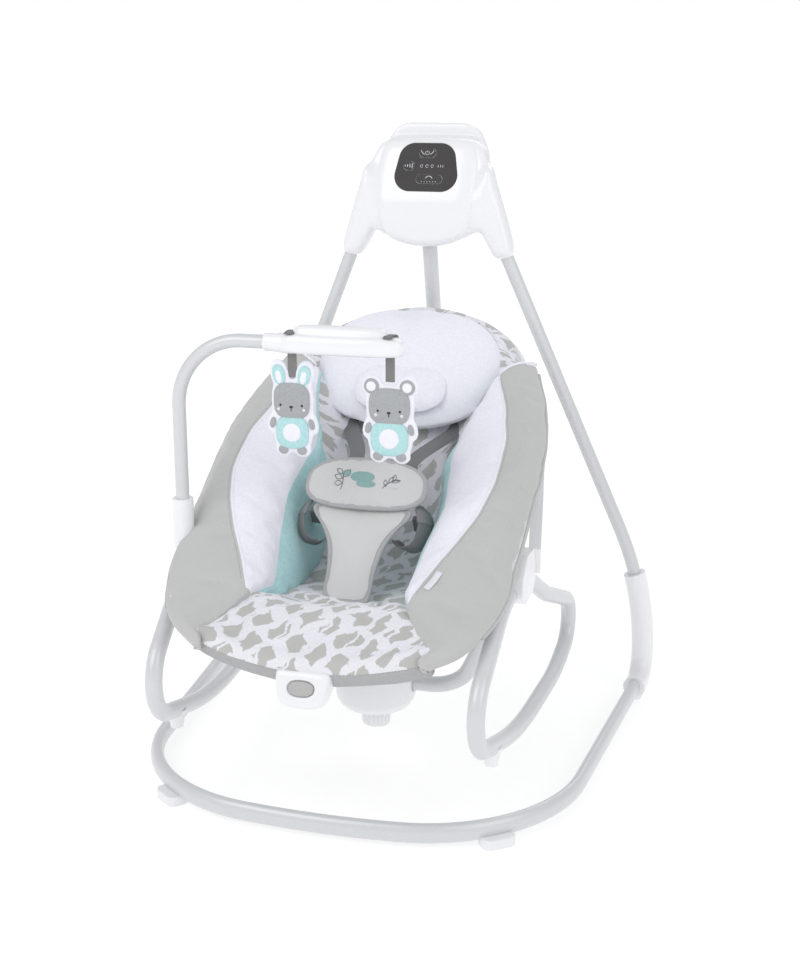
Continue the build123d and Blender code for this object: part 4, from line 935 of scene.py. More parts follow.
FACE_RINGS = 26
middle, rings, shares = disc(mirrored_outline(FACE_HALF), FACE_RINGS)
columns = rings.shape[1]
edge = FACE_EDGE * (1 - np.sqrt(1 - np.clip((shares - 0.8) / 0.2, 0, 1) ** 2.2))[:, None]
front_y = face_front(rings[..., 0], rings[..., 1]) + edge
front = np.stack([rings[..., 0], front_y, rings[..., 1]], -1)
rear = np.stack([rings[..., 0], face_front(0 * rings[..., 0], rings[..., 1]) + FACE_DEPTH, rings[..., 1]], -1)
heart = [(middle[0], float(face_front(0.0, middle[1])) + d, middle[1]) for d in (0, FACE_DEPTH)]
points = np.vstack([front.reshape(-1, 3), rear[:-1].reshape(-1, 3), heart]) / 1000
front_cover = build("head_front_cover", points, disc_faces(FACE_RINGS, columns), "stand", [white_plastic])
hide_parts("head_front_shell")
print("head covers:", len(rear_cover.data.polygons), "and", len(front_cover.data.polygons), "faces")

# %% [markdown]
# ## Cushions
# A small cushion is two pieces of cloth sewn round the edge and filled, so it is thick in the
# middle, thin at the seam, and puckered where the seam gathers the cloth. Each one here is a pair
# of discs that share the seam, crowned by a rounded profile, with a few uneven puckers.


# %% Cushions
def oval_line(half_width, half_height, power=2.0, columns=72):
    """A superellipse outline; a higher power has squarer shoulders."""
    angle = np.linspace(0, 2 * np.pi, columns, endpoint=False)
    c, s = np.cos(angle), np.sin(angle)
    return np.stack([half_width * np.sign(c) * np.abs(c) ** (2 / power),
                     half_height * np.sign(s) * np.abs(s) ** (2 / power)], -1)


def even(points, columns):
    """The same closed outline with evenly spaced points."""
    points = np.vstack([points, points[:1]])
    run = np.r_[0, np.cumsum(np.hypot(*np.diff(points, axis=0).T))]
    at = np.linspace(0, run[-1], columns, endpoint=False)
    return np.stack([np.interp(at, run, points[:, 0]), np.interp(at, run, points[:, 1])], -1)


def cushion(name, outline, thick, place, body, materials, pucker=0.0, flat=0.55, rings=14):
    """A sewn cushion on an outline; place turns local x, y, z into metres."""
    middle, grid, shares = disc(outline, rings)
    columns = grid.shape[1]
    turn = np.arange(columns)
    gather = 1 + pucker * (np.sin(turn * 2.7) + 0.6 * np.sin(turn * 1.3 + 1))[None, :] * (shares**4)[:, None]
    lift = thick / 2 * ((1 - np.clip(shares, 0, 1) ** 3) ** flat)[:, None] * gather
    top = place(grid[..., 0], grid[..., 1], lift)
    low = place(grid[..., 0], grid[..., 1], -lift)
    hearts = [place(middle[0], middle[1], thick / 2), place(middle[0], middle[1], -thick / 2)]
    points = np.vstack([top.reshape(-1, 3), low[:-1].reshape(-1, 3), hearts])
    return build(name, points, disc_faces(rings, columns), body, materials)


def seam_ring(outline, rings=14):
    """The points of a cushion's outer ring, where its two cloths are sewn together."""
    return np.arange((rings - 1) * len(outline), rings * len(outline))


def tilted(x0, u0, h0, tilt):
    """A place on the seat, turned up from its plane by a further tilt."""
    c, s = math.cos(math.radians(tilt)), math.sin(math.radians(tilt))
    return lambda x, y, z: seat(x0 + x, u0 + y * c - z * s, h0 + y * s + z * c)


head_place = tilted(-5, 640, -14, 20)
headrest_line = oval_line(154, 111, 2.25)
headrest = cushion("headrest_cushion", headrest_line, 46, head_place, "seat", [white_plush], pucker=0.10)
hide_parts("headrest")
smooth(fill(headrest, seam_ring(headrest_line), 4.0, 0.006, -0.04))
cradle_line = oval_line(76, 44, 2.6) + (0, -52)
cradle = cushion("head_cradle_cushion", cradle_line, 22, lambda x, y, z: head_place(x, y, z + 25), "seat",
                 [white_plush], pucker=0.12)
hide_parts("head_cradle")
smooth(fill(cradle, seam_ring(cradle_line), 3.0, 0.004, -0.04))

HARNESS_FOOT, HARNESS_TILT = (-188, 316), math.radians(52.7)


def harness(x, y, z):
    """Points on the harness plane, in metres: y up the crotch pad, z out of it."""
    x, y, z = np.broadcast_arrays(*(np.asarray(v, float) for v in (x, y, z)))
    c, s = math.cos(HARNESS_TILT), math.sin(HARNESS_TILT)
    return np.stack([x, HARNESS_FOOT[0] + y * c - z * s, HARNESS_FOOT[1] + y * s + z * c], -1) / 1000


CROTCH_LINE = [(0, -6), (36, -4), (35, 30), (38, 62), (44, 90), (58, 116), (78, 138), (74, 152),
               (0, 156), (-74, 152), (-78, 138), (-58, 116), (-44, 90), (-38, 62), (-36, 30), (-37, -4)]
PAD_BINDING, BINDING_THICK = 9.5, 8


def binding(name, outline, place, body, width, thick):
    """A folded tape sewn round the edge of a pad: an oval swept along the outline."""
    outline = np.asarray(outline, float)
    ahead = np.roll(outline, -1, axis=0) - np.roll(outline, 1, axis=0)
    ahead /= np.linalg.norm(ahead, axis=1, keepdims=True)
    inward = np.stack([-ahead[:, 1], ahead[:, 0]], -1)
    inward *= np.sign(((outline.mean(axis=0) - outline) * inward).sum())
    turn = np.linspace(0, 2 * np.pi, 12, endpoint=False)
    across = (np.sign(np.cos(turn)) * np.abs(np.cos(turn)) ** 0.7 + 1) * width / 2 - 1
    lift = np.sign(np.sin(turn)) * np.abs(np.sin(turn)) ** 0.7 * thick / 2
    flat = outline[:, None] + across[None, :, None] * inward[:, None]
    rings = place(flat[..., 0], flat[..., 1], np.broadcast_to(lift, flat.shape[:2]))
    faces, _ = ring_faces(len(outline), len(turn), capped=False)
    last = (len(outline) - 1) * len(turn)
    faces += [(last + c, last + (c + 1) % len(turn), (c + 1) % len(turn), c) for c in range(len(turn))]
    return build(name, rings, faces, body, [binding_knit])


def crotch_place(x, y, z):
    """The crotch pad's own plane, a little behind the harness plane."""
    return harness(x, y, z - 4)


def waist_place(x, y, z):
    """The waist pad's plane, bowed round the baby."""
    return harness(x, y, z + 9 - 0.0012 * np.asarray(x) ** 2)


crotch_line = even(rounded(CROTCH_LINE, 2), 140)
crotch = cushion("crotch_pad_cover", crotch_line, 13, crotch_place, "seat", [pad_knit])
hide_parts("crotch_pad")
waist_line = even(oval_line(95, 41, 2.7) + (0, 181), 120)
waist = cushion("waist_pad_cover", waist_line, 18, waist_place, "seat", [pad_knit])
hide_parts("waist_pad")
for pad, line, place in ((crotch, crotch_line, crotch_place), (waist, waist_line, waist_place)):
    smooth(fill(pad, seam_ring(line), 3.0, 0.002, -0.006))
    smooth(binding(f"{pad.name}_binding", line, place, "seat", PAD_BINDING, BINDING_THICK))
print("cushions:", [piece.name for piece in (headrest, cradle, crotch, waist)])

# %% [markdown]
# ## Toy bar beam
# The beam that carries the toys is a hollow moulding like an upturned boat: a straight lip below,
# a step, and a crowned top. It is drawn as a pile of outlines from the lip to the crown.

# %% Toy bar beam
BEAM_Y = -196
# Outlines of the beam from its lip to its crown: z, half length, half depth.
BEAM_PILE = [(683, 84, 17), (684.5, 88, 20), (688, 91, 21.5), (694, 92, 22), (701, 91, 21.5), (706, 88, 20),
             (709, 82, 17), (709.6, 70, 15.5), (713, 69, 15), (718, 66, 13), (721, 60, 10), (722, 40, 5)]
pile = []
for z, half_length, half_depth in BEAM_PILE:
    ring = oval_line(half_length, half_depth, 3.0)
    pile.append(np.stack([ring[:, 0], ring[:, 1] + BEAM_Y, np.full(len(ring), z)], -1))
pile = np.array(pile) / 1000
ends = [(0, BEAM_Y / 1000, pile[0, 0, 2]), (0, BEAM_Y / 1000, pile[-1, 0, 2])]
faces, _ = ring_faces(*pile.shape[:2])
beam = build("beam_cover", np.vstack([pile.reshape(-1, 3), ends]), faces, "toy_bar", [white_plastic])
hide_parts("toy_bar_beam")


def tube(name, path, radius, body, material, columns=24):
    """A closed round bar along a path; radius may be one number or one per point."""
    path = np.asarray(path, float)
    radius = np.broadcast_to(radius, len(path))
    ahead = np.gradient(path, axis=0)
    ahead /= np.linalg.norm(ahead, axis=1, keepdims=True)
    side = np.cross(ahead, np.where(np.abs(ahead[:, 2:]) > 0.9, (1, 0, 0), (0, 0, 1)))
    side /= np.linalg.norm(side, axis=1, keepdims=True)
    over = np.cross(side, ahead)
    angle = np.linspace(0, 2 * np.pi, columns, endpoint=False)
    rings = (path[:, None] + radius[:, None, None] * (np.cos(angle)[None, :, None] * side[:, None]
             + np.sin(angle)[None, :, None] * over[:, None])) / 1000
    faces, _ = ring_faces(len(path), columns)
    return build(name, np.vstack([rings.reshape(-1, 3), path[[0, -1]] / 1000]), faces, body, [material])


COLLAR = [(-113, 11.5), (-112, 12.6), (-110, 13), (-98, 13.2), (-90, 14.2), (-82, 15), (-70, 15)]
collar = tube("beam_collar", [(x, BEAM_Y, 695) for x, r in COLLAR], [r for x, r in COLLAR], "toy_bar",
              white_plastic)

# %% [markdown]
# ## Harness straps
# Straps are woven webbing, 25 mm wide and about 2 mm thick. A strap is swept along a smooth curve
# through the places where it is held, keeping its broad face turned the way the wearer would feel
# it. Short strips of a paler plastic are the adjusters.


# %% Harness straps
def through(points, count):
    """A smooth line through points, in metres."""
    points = np.asarray(points, float)
    run = np.r_[0, np.cumsum(np.linalg.norm(np.diff(points, axis=0), axis=1))]
    at = np.linspace(0, run[-1], count)
    return np.stack([curve(list(zip(run, points[:, i])), at) for i in range(3)], -1)


def unit_rows(vectors):
    """The same vectors, each of length one."""
    return vectors / np.linalg.norm(vectors, axis=1, keepdims=True)


def strip_along(name, points, width, thick, body, material, facing=None, across=None, count=40):
    """A flat band along a curve, turned by its facing or its crosswise direction; sizes in mm."""
    path = through(points, count)
    ahead = unit_rows(np.gradient(path, axis=0))
    if across is None:
        side = unit_rows(np.cross(ahead, np.broadcast_to(np.asarray(facing, float), path.shape)))
    else:
        across = np.broadcast_to(np.asarray(across, float), path.shape)
        side = unit_rows(across - (across * ahead).sum(axis=1, keepdims=True) * ahead)
    out = np.cross(side, ahead)
    w, t = width / 2000, thick / 2000
    corners = [(-w, t * 0.4), (-w * 0.94, t), (w * 0.94, t), (w, t * 0.4), (w, -t * 0.4), (w * 0.94, -t),
               (-w * 0.94, -t), (-w, -t * 0.4)]
    rings = np.stack([path + a * side + b * out for a, b in corners], 1)
    faces, _ = ring_faces(count, len(corners))
    piece = build(name, np.vstack([rings.reshape(-1, 3), path[[0, -1]]]), faces, body, [material])
    piece["run"] = float(np.linalg.norm(np.diff(path, axis=0), axis=1).sum())
    return piece


FORWARD = np.array([0, -0.795, 0.606])
SHOULDER_X, WEB_THICK = {"left": -26, "right": 62}, 2.2
for side, tag in ((-1, "left"), (1, "right")):
    shoulder = [harness(SHOULDER_X[tag], 204, -3), harness(SHOULDER_X[tag], 222, -2), seat(side * 86, 542, -62),
                seat(side * 92, 564, -63), seat(side * 94, 574, -66)]
    strip_along(f"{tag}_shoulder_strap", shoulder, 25, WEB_THICK, "seat", webbing, FORWARD)
    waist_run = [harness(side * 80, 164, -20), harness(side * 92, 150, -15), harness(side * 97, 130, -14),
                 harness(side * 94, 110, -18), harness(side * 84, 97, -25), harness(side * 70, 96, -31),
                 harness(side * 52, 108, -30)]
    turned = (-0.6 * side, -0.6, 0.5)
    strip_along(f"{tag}_waist_strap", waist_run, 25, WEB_THICK, "seat", webbing, across=turned, count=60)
    adjuster = [harness(side * 89, 154, -16.5), harness(side * 94, 144, -14.6), harness(side * 96.7, 132, -14)]
    strip_along(f"{tag}_adjuster", adjuster, 29, 5, "seat", buckle_plastic, across=turned, count=12)
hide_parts("harness_straps")

# %% [markdown]
# ## The hanging toys
# Each toy is a flat plush doll: two layers of white pile sewn round a generous margin, with
# coloured pieces stitched on the front. The white body is a distance field, the union of a few
# ovals grown by the margin and thinned towards its seam, and every coloured piece is a low cushion
# laid on it.

# %% The hanging toys
TOY_MARGIN, TOY_THICK, TOY_STEP = 4.5, 10, 1.5


def oval_field(x, z, oval):
    """Rough signed distance to a leaning oval (x, z, half width, half height, lean, power)."""
    cx, cz, a, b, lean, power = oval
    c, s = math.cos(math.radians(lean)), math.sin(math.radians(lean))
    u, v = (x - cx) * c + (z - cz) * s, (z - cz) * c - (x - cx) * s
    size = (np.abs(u / a) ** power + np.abs(v / b) ** power + 1e-12) ** (1 / power)
    return (size - 1) * min(a, b)


def toy_front(centre, depth):
    """A place on the front of a toy: local x and z, thickness forward."""
    return lambda x, y, z: np.stack(np.broadcast_arrays(
        (centre + np.asarray(x)) / 1000, (BEAM_Y - depth - np.asarray(z)) / 1000, np.asarray(y) / 1000), -1)


def toy_oval(oval):
    """The outline of one leaning oval."""
    cx, cz, a, b, lean, power = oval
    line = oval_line(a, b, power, 48)
    c, s = math.cos(math.radians(lean)), math.sin(math.radians(lean))
    return np.stack([cx + line[:, 0] * c - line[:, 1] * s, cz + line[:, 0] * s + line[:, 1] * c], -1)


eye_thread = finish("eye_thread", mottle, srgb(44, 42, 44), srgb(58, 56, 58), 500, 0.1, 0.6)
grey_plush = finish("grey_plush", nap, srgb(160, 163, 165), srgb(176, 178, 180), 420, 0.3, 0.95,
                    Sheen_Weight=0.25)
pale_thread = finish("pale_thread", nap, srgb(222, 222, 226), srgb(232, 232, 236), 420, 0.2, 0.9)


def both(x, *rest):
    """A pair of ovals, the second a mirror of the first."""
    z, a, b, lean, power = rest
    return [(x, z, a, b, lean, power), (-x, z, a, b, -lean, power)]


RABBIT = {
    "ring": [(teal_plush, oval) for oval in both(-19, 650, 9.5, 14.5, 12, 2.2)],
    "inner": [(white_plush, oval) for oval in both(-18.5, 647, 4.6, 9.5, 12, 2.2)],
    "limb": [(grey_plush, oval) for oval in both(-29, 580, 4.5, 8, -14, 2.2) + both(-14, 541, 7.5, 6.5, 0, 2)],
    "body": [(teal_plush, (0, 567, 24.5, 24, 0, 2.9))],
    "belly": [(white_plush, (0, 567, 13.5, 13.5, 0, 2))],
    "head": [(grey_plush, (0, 613, 27, 26, 0, 3.0))],
}
BEAR = {
    "ring": [(grey_plush, oval) for oval in both(-26, 641, 11, 11, 0, 2)],
    "inner": [(white_plush, oval) for oval in both(-26, 641, 7, 7, 0, 2)],
    "limb": [(grey_plush, oval) for oval in both(-31, 581, 4.5, 8, -14, 2.2) + both(-17, 541, 7.5, 6.5, 0, 2)],
    "body": [(teal_plush, (0, 567, 27.5, 25, 0, 2.9))],
    "belly": [(white_plush, (0, 567, 14.5, 14.5, 0, 2))],
    "head": [(grey_plush, (0, 613, 30, 26, 0, 2.9))],
}
LAYERS = {"limb": (4.6, 4), "ring": (4.8, 4), "inner": (6.4, 3), "body": (5.2, 5), "belly": (7.4, 2.4),
          "head": (5.4, 6)}


def toy(name, centre, art):
    """One plush toy: the white body, the pieces on it and its face."""
    ovals = [oval for layer in art.values() for _, oval in layer]

    def field(x, y, z):
        flat = np.full(x.shape, 1e3)
        for oval in ovals:
            flat = soft_min(flat, oval_field(x - centre, z, oval), 5)
        edge = flat - TOY_MARGIN
        half = TOY_THICK / 2 * np.sqrt(np.clip(-edge / 10, 0, 1)) + 0.6
        return np.maximum(edge, np.abs(y - BEAM_Y) - half) * 0.6

    base = build(f"{name}_plush", *surface(field, (centre - 48, BEAM_Y - 12, 525),
                                           (centre + 48, BEAM_Y + 12, 680), TOY_STEP), name, [white_plush])
    relax(base, 3)
    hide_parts(f"{name}_head", f"{name}_body", f"{name}_limbs")
    for layer, (depth, thick) in LAYERS.items():
        for count, (material, oval) in enumerate(art[layer]):
            cushion(f"{name}_{layer}_{count}", toy_oval(oval), thick, toy_front(centre, depth), name,
                              [material], rings=7)
    face = [("eye", eye_thread, oval) for oval in both(-16, 607, 1.7, 1.8, 0, 2)]
    face += [("nose", eye_thread, (0, 604.5, 2.9, 2.0, 0, 2.4)), ("mouth", eye_thread, (0, 600.5, 0.6, 2.6, 0, 2))]
    face += [("cheek", pale_thread, oval) for oval in both(-19, 601, 2.4, 2.4, 0, 2)]
    for count, (part, material, oval) in enumerate(face):
        cushion(f"{name}_{part}_{count}", toy_oval(oval), 2.2, toy_front(centre, 8.0), name, [material], rings=5)
    return base


rabbit = toy("rabbit", -72, RABBIT)
bear = toy("bear", 72, BEAR)
ribbon_knit = finish("ribbon_knit", heather, srgb(118, 118, 116), srgb(136, 136, 134), 700, 0.3, 0.85)
dress(["rabbit_ribbon", "bear_ribbon"], ribbon_knit)


LOOP_TURN, LOOP_STEPS = (-1.4, 2.2), 25


def beam_loop(name, x, body):
    """The ribbon's band over the top and back of the beam."""
    angle = np.linspace(*LOOP_TURN, LOOP_STEPS)
    path = np.stack([np.full(LOOP_STEPS, x), BEAM_Y + 22.5 * np.sign(np.cos(angle)) * np.abs(np.cos(angle)) ** 0.8,
                     697 + 15 * np.sign(np.sin(angle)) * np.abs(np.sin(angle)) ** 0.8], -1) / 1000
    out = np.stack([0 * angle, np.cos(angle), np.sin(angle)], -1)
    w, t = 0.0065, 0.0012
    corners = [(-w, 0), (-w, t), (w, t), (w, 0)]
    rings = np.stack([path + np.array([a, 0, 0]) + b * out for a, b in corners], 1)
    faces, _ = ring_faces(LOOP_STEPS, len(corners))
    rings = np.vstack([rings.reshape(-1, 3), path[[0, -1]]])
    return build(name, rings, faces, body, [ribbon_knit])


loops = [beam_loop("rabbit_loop", -72, "toy_bar"), beam_loop("bear_loop", 72, "toy_bar")]
print("toys:", rabbit.name, len(rabbit.data.polygons), bear.name, len(bear.data.polygons), "faces")

# %% [markdown]
# ## Stitches
# Sewn cloth shows its thread. A stitch repeats along a seam, so one Geometry Nodes tree lays them all:
# it turns a guide line into a curve, spaces points along it, and puts a small rounded stitch on every
# point, turned along the line. The tree has named inputs for the spacing, length, thickness and thread,
# and its result is kept as a plain mesh.

# %% A tree that sews
stitch_tree = bpy.data.node_groups.new("stitch_run", "GeometryNodeTree")
SEW_INPUTS = [("Guide", "NodeSocketGeometry"), ("Gap", "NodeSocketFloat"), ("Length", "NodeSocketFloat"),
              ("Thickness", "NodeSocketFloat"), ("Thread", "NodeSocketMaterial")]
sew_id = {label: stitch_tree.interface.new_socket(label, in_out="INPUT", socket_type=kind).identifier
          for label, kind in SEW_INPUTS}
stitch_tree.interface.new_socket("Stitches", in_out="OUTPUT", socket_type="NodeSocketGeometry")


def sew_node(kind, **settings):
    """A node of the sewing tree with its settings."""
    node = stitch_tree.nodes.new(kind)
    for label, value in settings.items():
        setattr(node, label, value)
    return node


def sew_link(source, output, target, target_input):
    """Join two sockets of the sewing tree."""
    stitch_tree.links.new(source.outputs[output], target.inputs[target_input])


sew_in, sew_out = sew_node("NodeGroupInput"), sew_node("NodeGroupOutput")
line = sew_node("GeometryNodeMeshToCurve")
spaced = sew_node("GeometryNodeResampleCurve", mode="LENGTH")
bead = sew_node("GeometryNodeMeshUVSphere")
for label, value in (("Segments", 6), ("Rings", 4), ("Radius", 1.0)):
    socket(bead, label, value)
halve = sew_node("ShaderNodeMath", operation="MULTIPLY")
halve.inputs[1].default_value = 0.5
thin = sew_node("ShaderNodeMath", operation="MULTIPLY")
thin.inputs[1].default_value = 0.5
sizes = sew_node("ShaderNodeCombineXYZ")
stretch = sew_node("GeometryNodeTransform")
along_line = sew_node("GeometryNodeInputTangent")
turn_to = sew_node("FunctionNodeAlignRotationToVector", axis="X")
lay = sew_node("GeometryNodeInstanceOnPoints")
real = sew_node("GeometryNodeRealizeInstances")
round_off = sew_node("GeometryNodeSetShadeSmooth")
colour = sew_node("GeometryNodeSetMaterial")
for link in ((sew_in, "Guide", line, 0), (line, 0, spaced, "Curve"), (sew_in, "Gap", spaced, "Length"),
             (sew_in, "Length", halve, 0), (sew_in, "Thickness", thin, 0), (halve, 0, sizes, "X"),
             (thin, 0, sizes, "Y"), (thin, 0, sizes, "Z"), (bead, "Mesh", stretch, "Geometry"),
             (sizes, 0, stretch, "Scale"), (along_line, 0, turn_to, "Vector"), (spaced, 0, lay, "Points"),
             (stretch, 0, lay, "Instance"), (turn_to, 0, lay, "Rotation"), (lay, 0, real, 0),
             (real, 0, round_off, 0), (round_off, 0, colour, "Geometry"), (sew_in, "Thread", colour, "Material"),
             (colour, 0, sew_out, 0)):
    sew_link(*link)


def sew(name, runs, body, thread, gap=4.4, length=3.2, thickness=0.8):
    """Stitches along runs of points in metres, kept as one plain mesh on a body."""
    guide = bpy.data.meshes.new(f"{name}_guide")
    points, edges = [], []
    for run in runs:
        edges += [(i, i + 1) for i in range(len(points), len(points) + len(run) - 1)]
        points += [tuple(p) for p in run]
    guide.from_pydata(points, edges, [])
    sewer = bpy.data.objects.new(f"{name}_sewer", guide)
    scene.collection.objects.link(sewer)
    change = sewer.modifiers.new("stitches", "NODES")
    change.node_group = stitch_tree
    for label, value in (("Gap", gap / 1000), ("Length", length / 1000), ("Thickness", thickness / 1000),
                         ("Thread", thread)):
        change[sew_id[label]] = value
    ready = sewer.evaluated_get(bpy.context.evaluated_depsgraph_get())
    mesh = bpy.data.meshes.new_from_object(ready)
    sewer.modifiers.remove(change)
    bpy.data.objects.remove(sewer)
    bpy.data.meshes.remove(guide)
    piece = bpy.data.objects.new(name, mesh)
    scene.collection.objects.link(piece)
    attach(piece, body)
    print(name, "has", len(mesh.polygons) // 24, "stitches")
    return piece


def laid(piece, points, proud=0.2):
    """Points moved to the nearest place on a finished piece, and the way its surface faces there."""
    skin = BVHTree.FromObject(piece, bpy.context.evaluated_depsgraph_get())
    found = [skin.find_nearest(Vector(p)) for p in np.asarray(points).reshape(-1, 3)]
    return np.array([spot + facing * proud / 1000 for spot, facing, _, _ in found]), np.array([f[1] for f in found])


# %% [markdown]
# ## Seams, piping and the tag
# The wings are topstitched beside their seams, edged with a corded roll on the outside, and closed with
# white piping at the head end. The pads are bound with tape that is sewn through, and a small blank tag
# is caught in the right wing's seam. Every line is read from the filled pieces, so thread lies on cloth.

# %% Seams, piping and the tag
grey_thread = finish("grey_thread", heather, srgb(150, 150, 150), srgb(166, 166, 166), 900, 0.2, 0.8)
white_thread = finish("white_thread", heather, srgb(222, 222, 228), srgb(232, 232, 238), 900, 0.2, 0.8)
SEAM_AWAY, CORD_RADIUS, PIPING_RADIUS = 0.55, 3.6, 2.2


def wing_line(piece, column, first, last):
    """The points of one column of a wing, in metres."""
    spots = np.empty(len(piece.data.vertices) * 3)
    piece.data.vertices.foreach_get("co", spots)
    grid = spots.reshape(-1, 3)[:WING_ROWS * WING_COLUMNS].reshape(WING_ROWS, WING_COLUMNS, 3)
    return grid[first:last, column]


PLUSH_ROW = int(np.searchsorted(np.linspace(WING_FROM, WING_TO, WING_ROWS), PLUSH_FROM)) + 2
for piece, label in ((right_wing, "right"), (left_wing, "left")):
    grey_side, white_side = (
        laid(piece, (1 - SEAM_AWAY) * wing_line(piece, EDGES[0], PLUSH_ROW, WING_ROWS - 3)
             + SEAM_AWAY * wing_line(piece, EDGES[0] + step, PLUSH_ROW, WING_ROWS - 3))[0] for step in (-1, 1))
    sew(f"{label}_wing_grey_stitches", [grey_side], "seat", grey_thread)
    sew(f"{label}_wing_white_stitches", [white_side], "seat", white_thread)
    cord = wing_line(piece, 1, 10, WING_ROWS - 2) * 1000
    tube(f"{label}_wing_cord", cord, CORD_RADIUS, "seat", grey_knit, 12)
    top_end = [wing_line(piece, column, WING_ROWS - 1, WING_ROWS)[0] * 1000 for column in range(2, EDGES[0] + 1)]
    tube(f"{label}_wing_piping", top_end, PIPING_RADIUS, "seat", white_plush, 12)

for pad, outline, place in ((crotch, crotch_line, crotch_place), (waist, waist_line, waist_place)):
    middle = outline.mean(axis=0)
    inset = outline + unit_rows(middle - outline) * (PAD_BINDING - 2.4)
    tape = bpy.data.objects[f"{pad.name}_binding"]
    run, _ = laid(tape, place(inset[:, 0], inset[:, 1], np.full(len(inset), 9.0)))
    sew(f"{pad.name}_stitches", [np.vstack([run, run[:1]])], "seat", grey_thread, 3.6, 2.6, 0.7)

hem_row = seat(grid[HEM_ROWS, :, 0], grid[HEM_ROWS, :, 1], grid[HEM_ROWS, :, 2])
sew("front_hem_stitches", [laid(strip, hem_row)[0]], "seat", grey_thread)

TAG_ROWS, TAG_WIDTH = (19, 25), 10.5
tag_line, tag_facing = laid(right_wing, 0.2 * wing_line(right_wing, EDGES[0], *TAG_ROWS)
                            + 0.8 * wing_line(right_wing, EDGES[0] - 2, *TAG_ROWS), 1.2)
tag = strip_along("seam_tag", tag_line, TAG_WIDTH, 0.8, "seat", white_thread, tag_facing.mean(axis=0), count=14)

# %% [markdown]
# ## A sewn sprig
# The waist pad carries a little embroidery. This one is a plain garden motif of our own: two sprigs and
# a round pebble, laid by the same sewing tree with a closer spacing, so that the thread reads as satin.

# %% A sewn sprig
teal_thread = finish("teal_thread", heather, srgb(142, 186, 184), srgb(158, 200, 198), 900, 0.2, 0.7)
dark_thread = finish("dark_thread", heather, srgb(96, 104, 106), srgb(112, 120, 122), 900, 0.2, 0.7)
MOTIF_Y, SATIN_STEP = 184, 1.1


def arc(x, y, radius, start, stop, count=16):
    """Points on an arc, angles in degrees."""
    turn = np.radians(np.linspace(start, stop, count))
    return np.stack([x + radius * np.cos(turn), y + radius * np.sin(turn)], -1)


def on_waist(points):
    """Motif points laid on the waist pad."""
    points = np.asarray(points, float)
    return laid(waist, waist_place(points[:, 0], MOTIF_Y + points[:, 1], np.full(len(points), 14.0)))[0]


def leaf(x, y, angle, length, width):
    """A closed leaf outline that starts at its stalk."""
    t = np.linspace(0, 1, 12)
    bow = width / 2 * np.sin(np.pi * t)
    out = np.stack([np.r_[t, t[::-1]] * length, np.r_[bow, -bow[::-1]]], -1)
    c, s = math.cos(math.radians(angle)), math.sin(math.radians(angle))
    return np.stack([x + out[:, 0] * c - out[:, 1] * s, y + out[:, 0] * s + out[:, 1] * c], -1)


def satin(x, y, half_width, half_height):
    """Close rows of thread that fill an oval."""
    rows = np.arange(-half_height + SATIN_STEP / 2, half_height, SATIN_STEP)
    reach = half_width * np.sqrt(1 - (rows / half_height) ** 2)
    return [np.array([(x - r, y + v), (x, y + v), (x + r, y + v)]) for r, v in zip(reach, rows) if r > 1]


left_stem = arc(-70, -6, 38, -18, 26)
right_stem = arc(58, -26, 30, 92, 150)
outlines = [left_stem, right_stem, leaf(-34, 0, 158, 14, 8), leaf(-35, 8, 140, 13, 7), leaf(-33, -8, 178, 13, 8),
            leaf(-33, 3, 48, 15, 11), leaf(40, -2, 62, 12, 5), leaf(47, 2, 84, 11, 5), leaf(36, -8, 100, 11, 5),
            leaf(44, 0, 18, 13, 5)]
sew("motif_outline", [on_waist(run) for run in outlines], "seat", dark_thread, 1.8, 2.3, 1.2)
fills = satin(-28, 9, 6, 4.5) + satin(-2, 4, 18, 9) + satin(5, -7, 14, 6)
sew("motif_satin", [on_waist(run) for run in fills], "seat", teal_thread, 2.2, 2.8, 1.0)
petals = satin(47, -9, 7, 2.4) + satin(-41, -8, 6, 2.6)
sew("motif_petals", [on_waist(run) for run in petals], "seat", white_thread, 2.2, 2.8, 1.0)

# %% [markdown]
# ## Dock, knob and vibration unit
# Under the seat a round dock holds the seat's tube in two open slots, and a ribbed knob below it
# lets the seat go. At the front a small white unit shakes the seat. All three are plain mouldings
# with large radii; the dock and the unit are each again one distance field with its slots and
# pockets cut out, and the knob is a pile of ribbed rings.

# %% Dock, knob and vibration unit
DOCK_Y, CRADLE_Z, SLOT_RADIUS, DOCK_WALL = -30, 128, 13.4, 6
DOCK_HALF = [(0, 84), (44, 84), (55, 88), (63, 100), (66, 122), (68, 168), (60, 168), (58, 122), (54, 104),
             (46, 94), (0, 92)]
ARM_SOCKET, ARM_BORE, ARM_Z = 17.5, 13.2, 100


def dock_field(x, y, z):
    """The bowl, its socket for the arm and its two open slots."""
    round_r = np.hypot(x, y - DOCK_Y)
    bowl = outline_distance(np.array(DOCK_HALF), round_r, z)
    along_y = np.hypot(x, z - ARM_Z)
    socket_bar = soft_max(along_y - ARM_SOCKET, np.maximum(10 - y, y - 56), 3)
    solid = soft_min(bowl, socket_bar, 6)
    solid = np.maximum(solid, -np.maximum(along_y - ARM_BORE, 0 - y))
    slot = np.where(z < CRADLE_Z, np.hypot(y - DOCK_Y, z - CRADLE_Z) - SLOT_RADIUS,
                    np.abs(y - DOCK_Y) - SLOT_RADIUS)
    return soft_max(solid, -slot, 2)


dock = relax(build("dock_cover", *surface(dock_field, (-72, -102, 78), (72, 62, 174), 2.6), "swing",
                   [white_plastic]), 5)
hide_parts("dock_bowl")

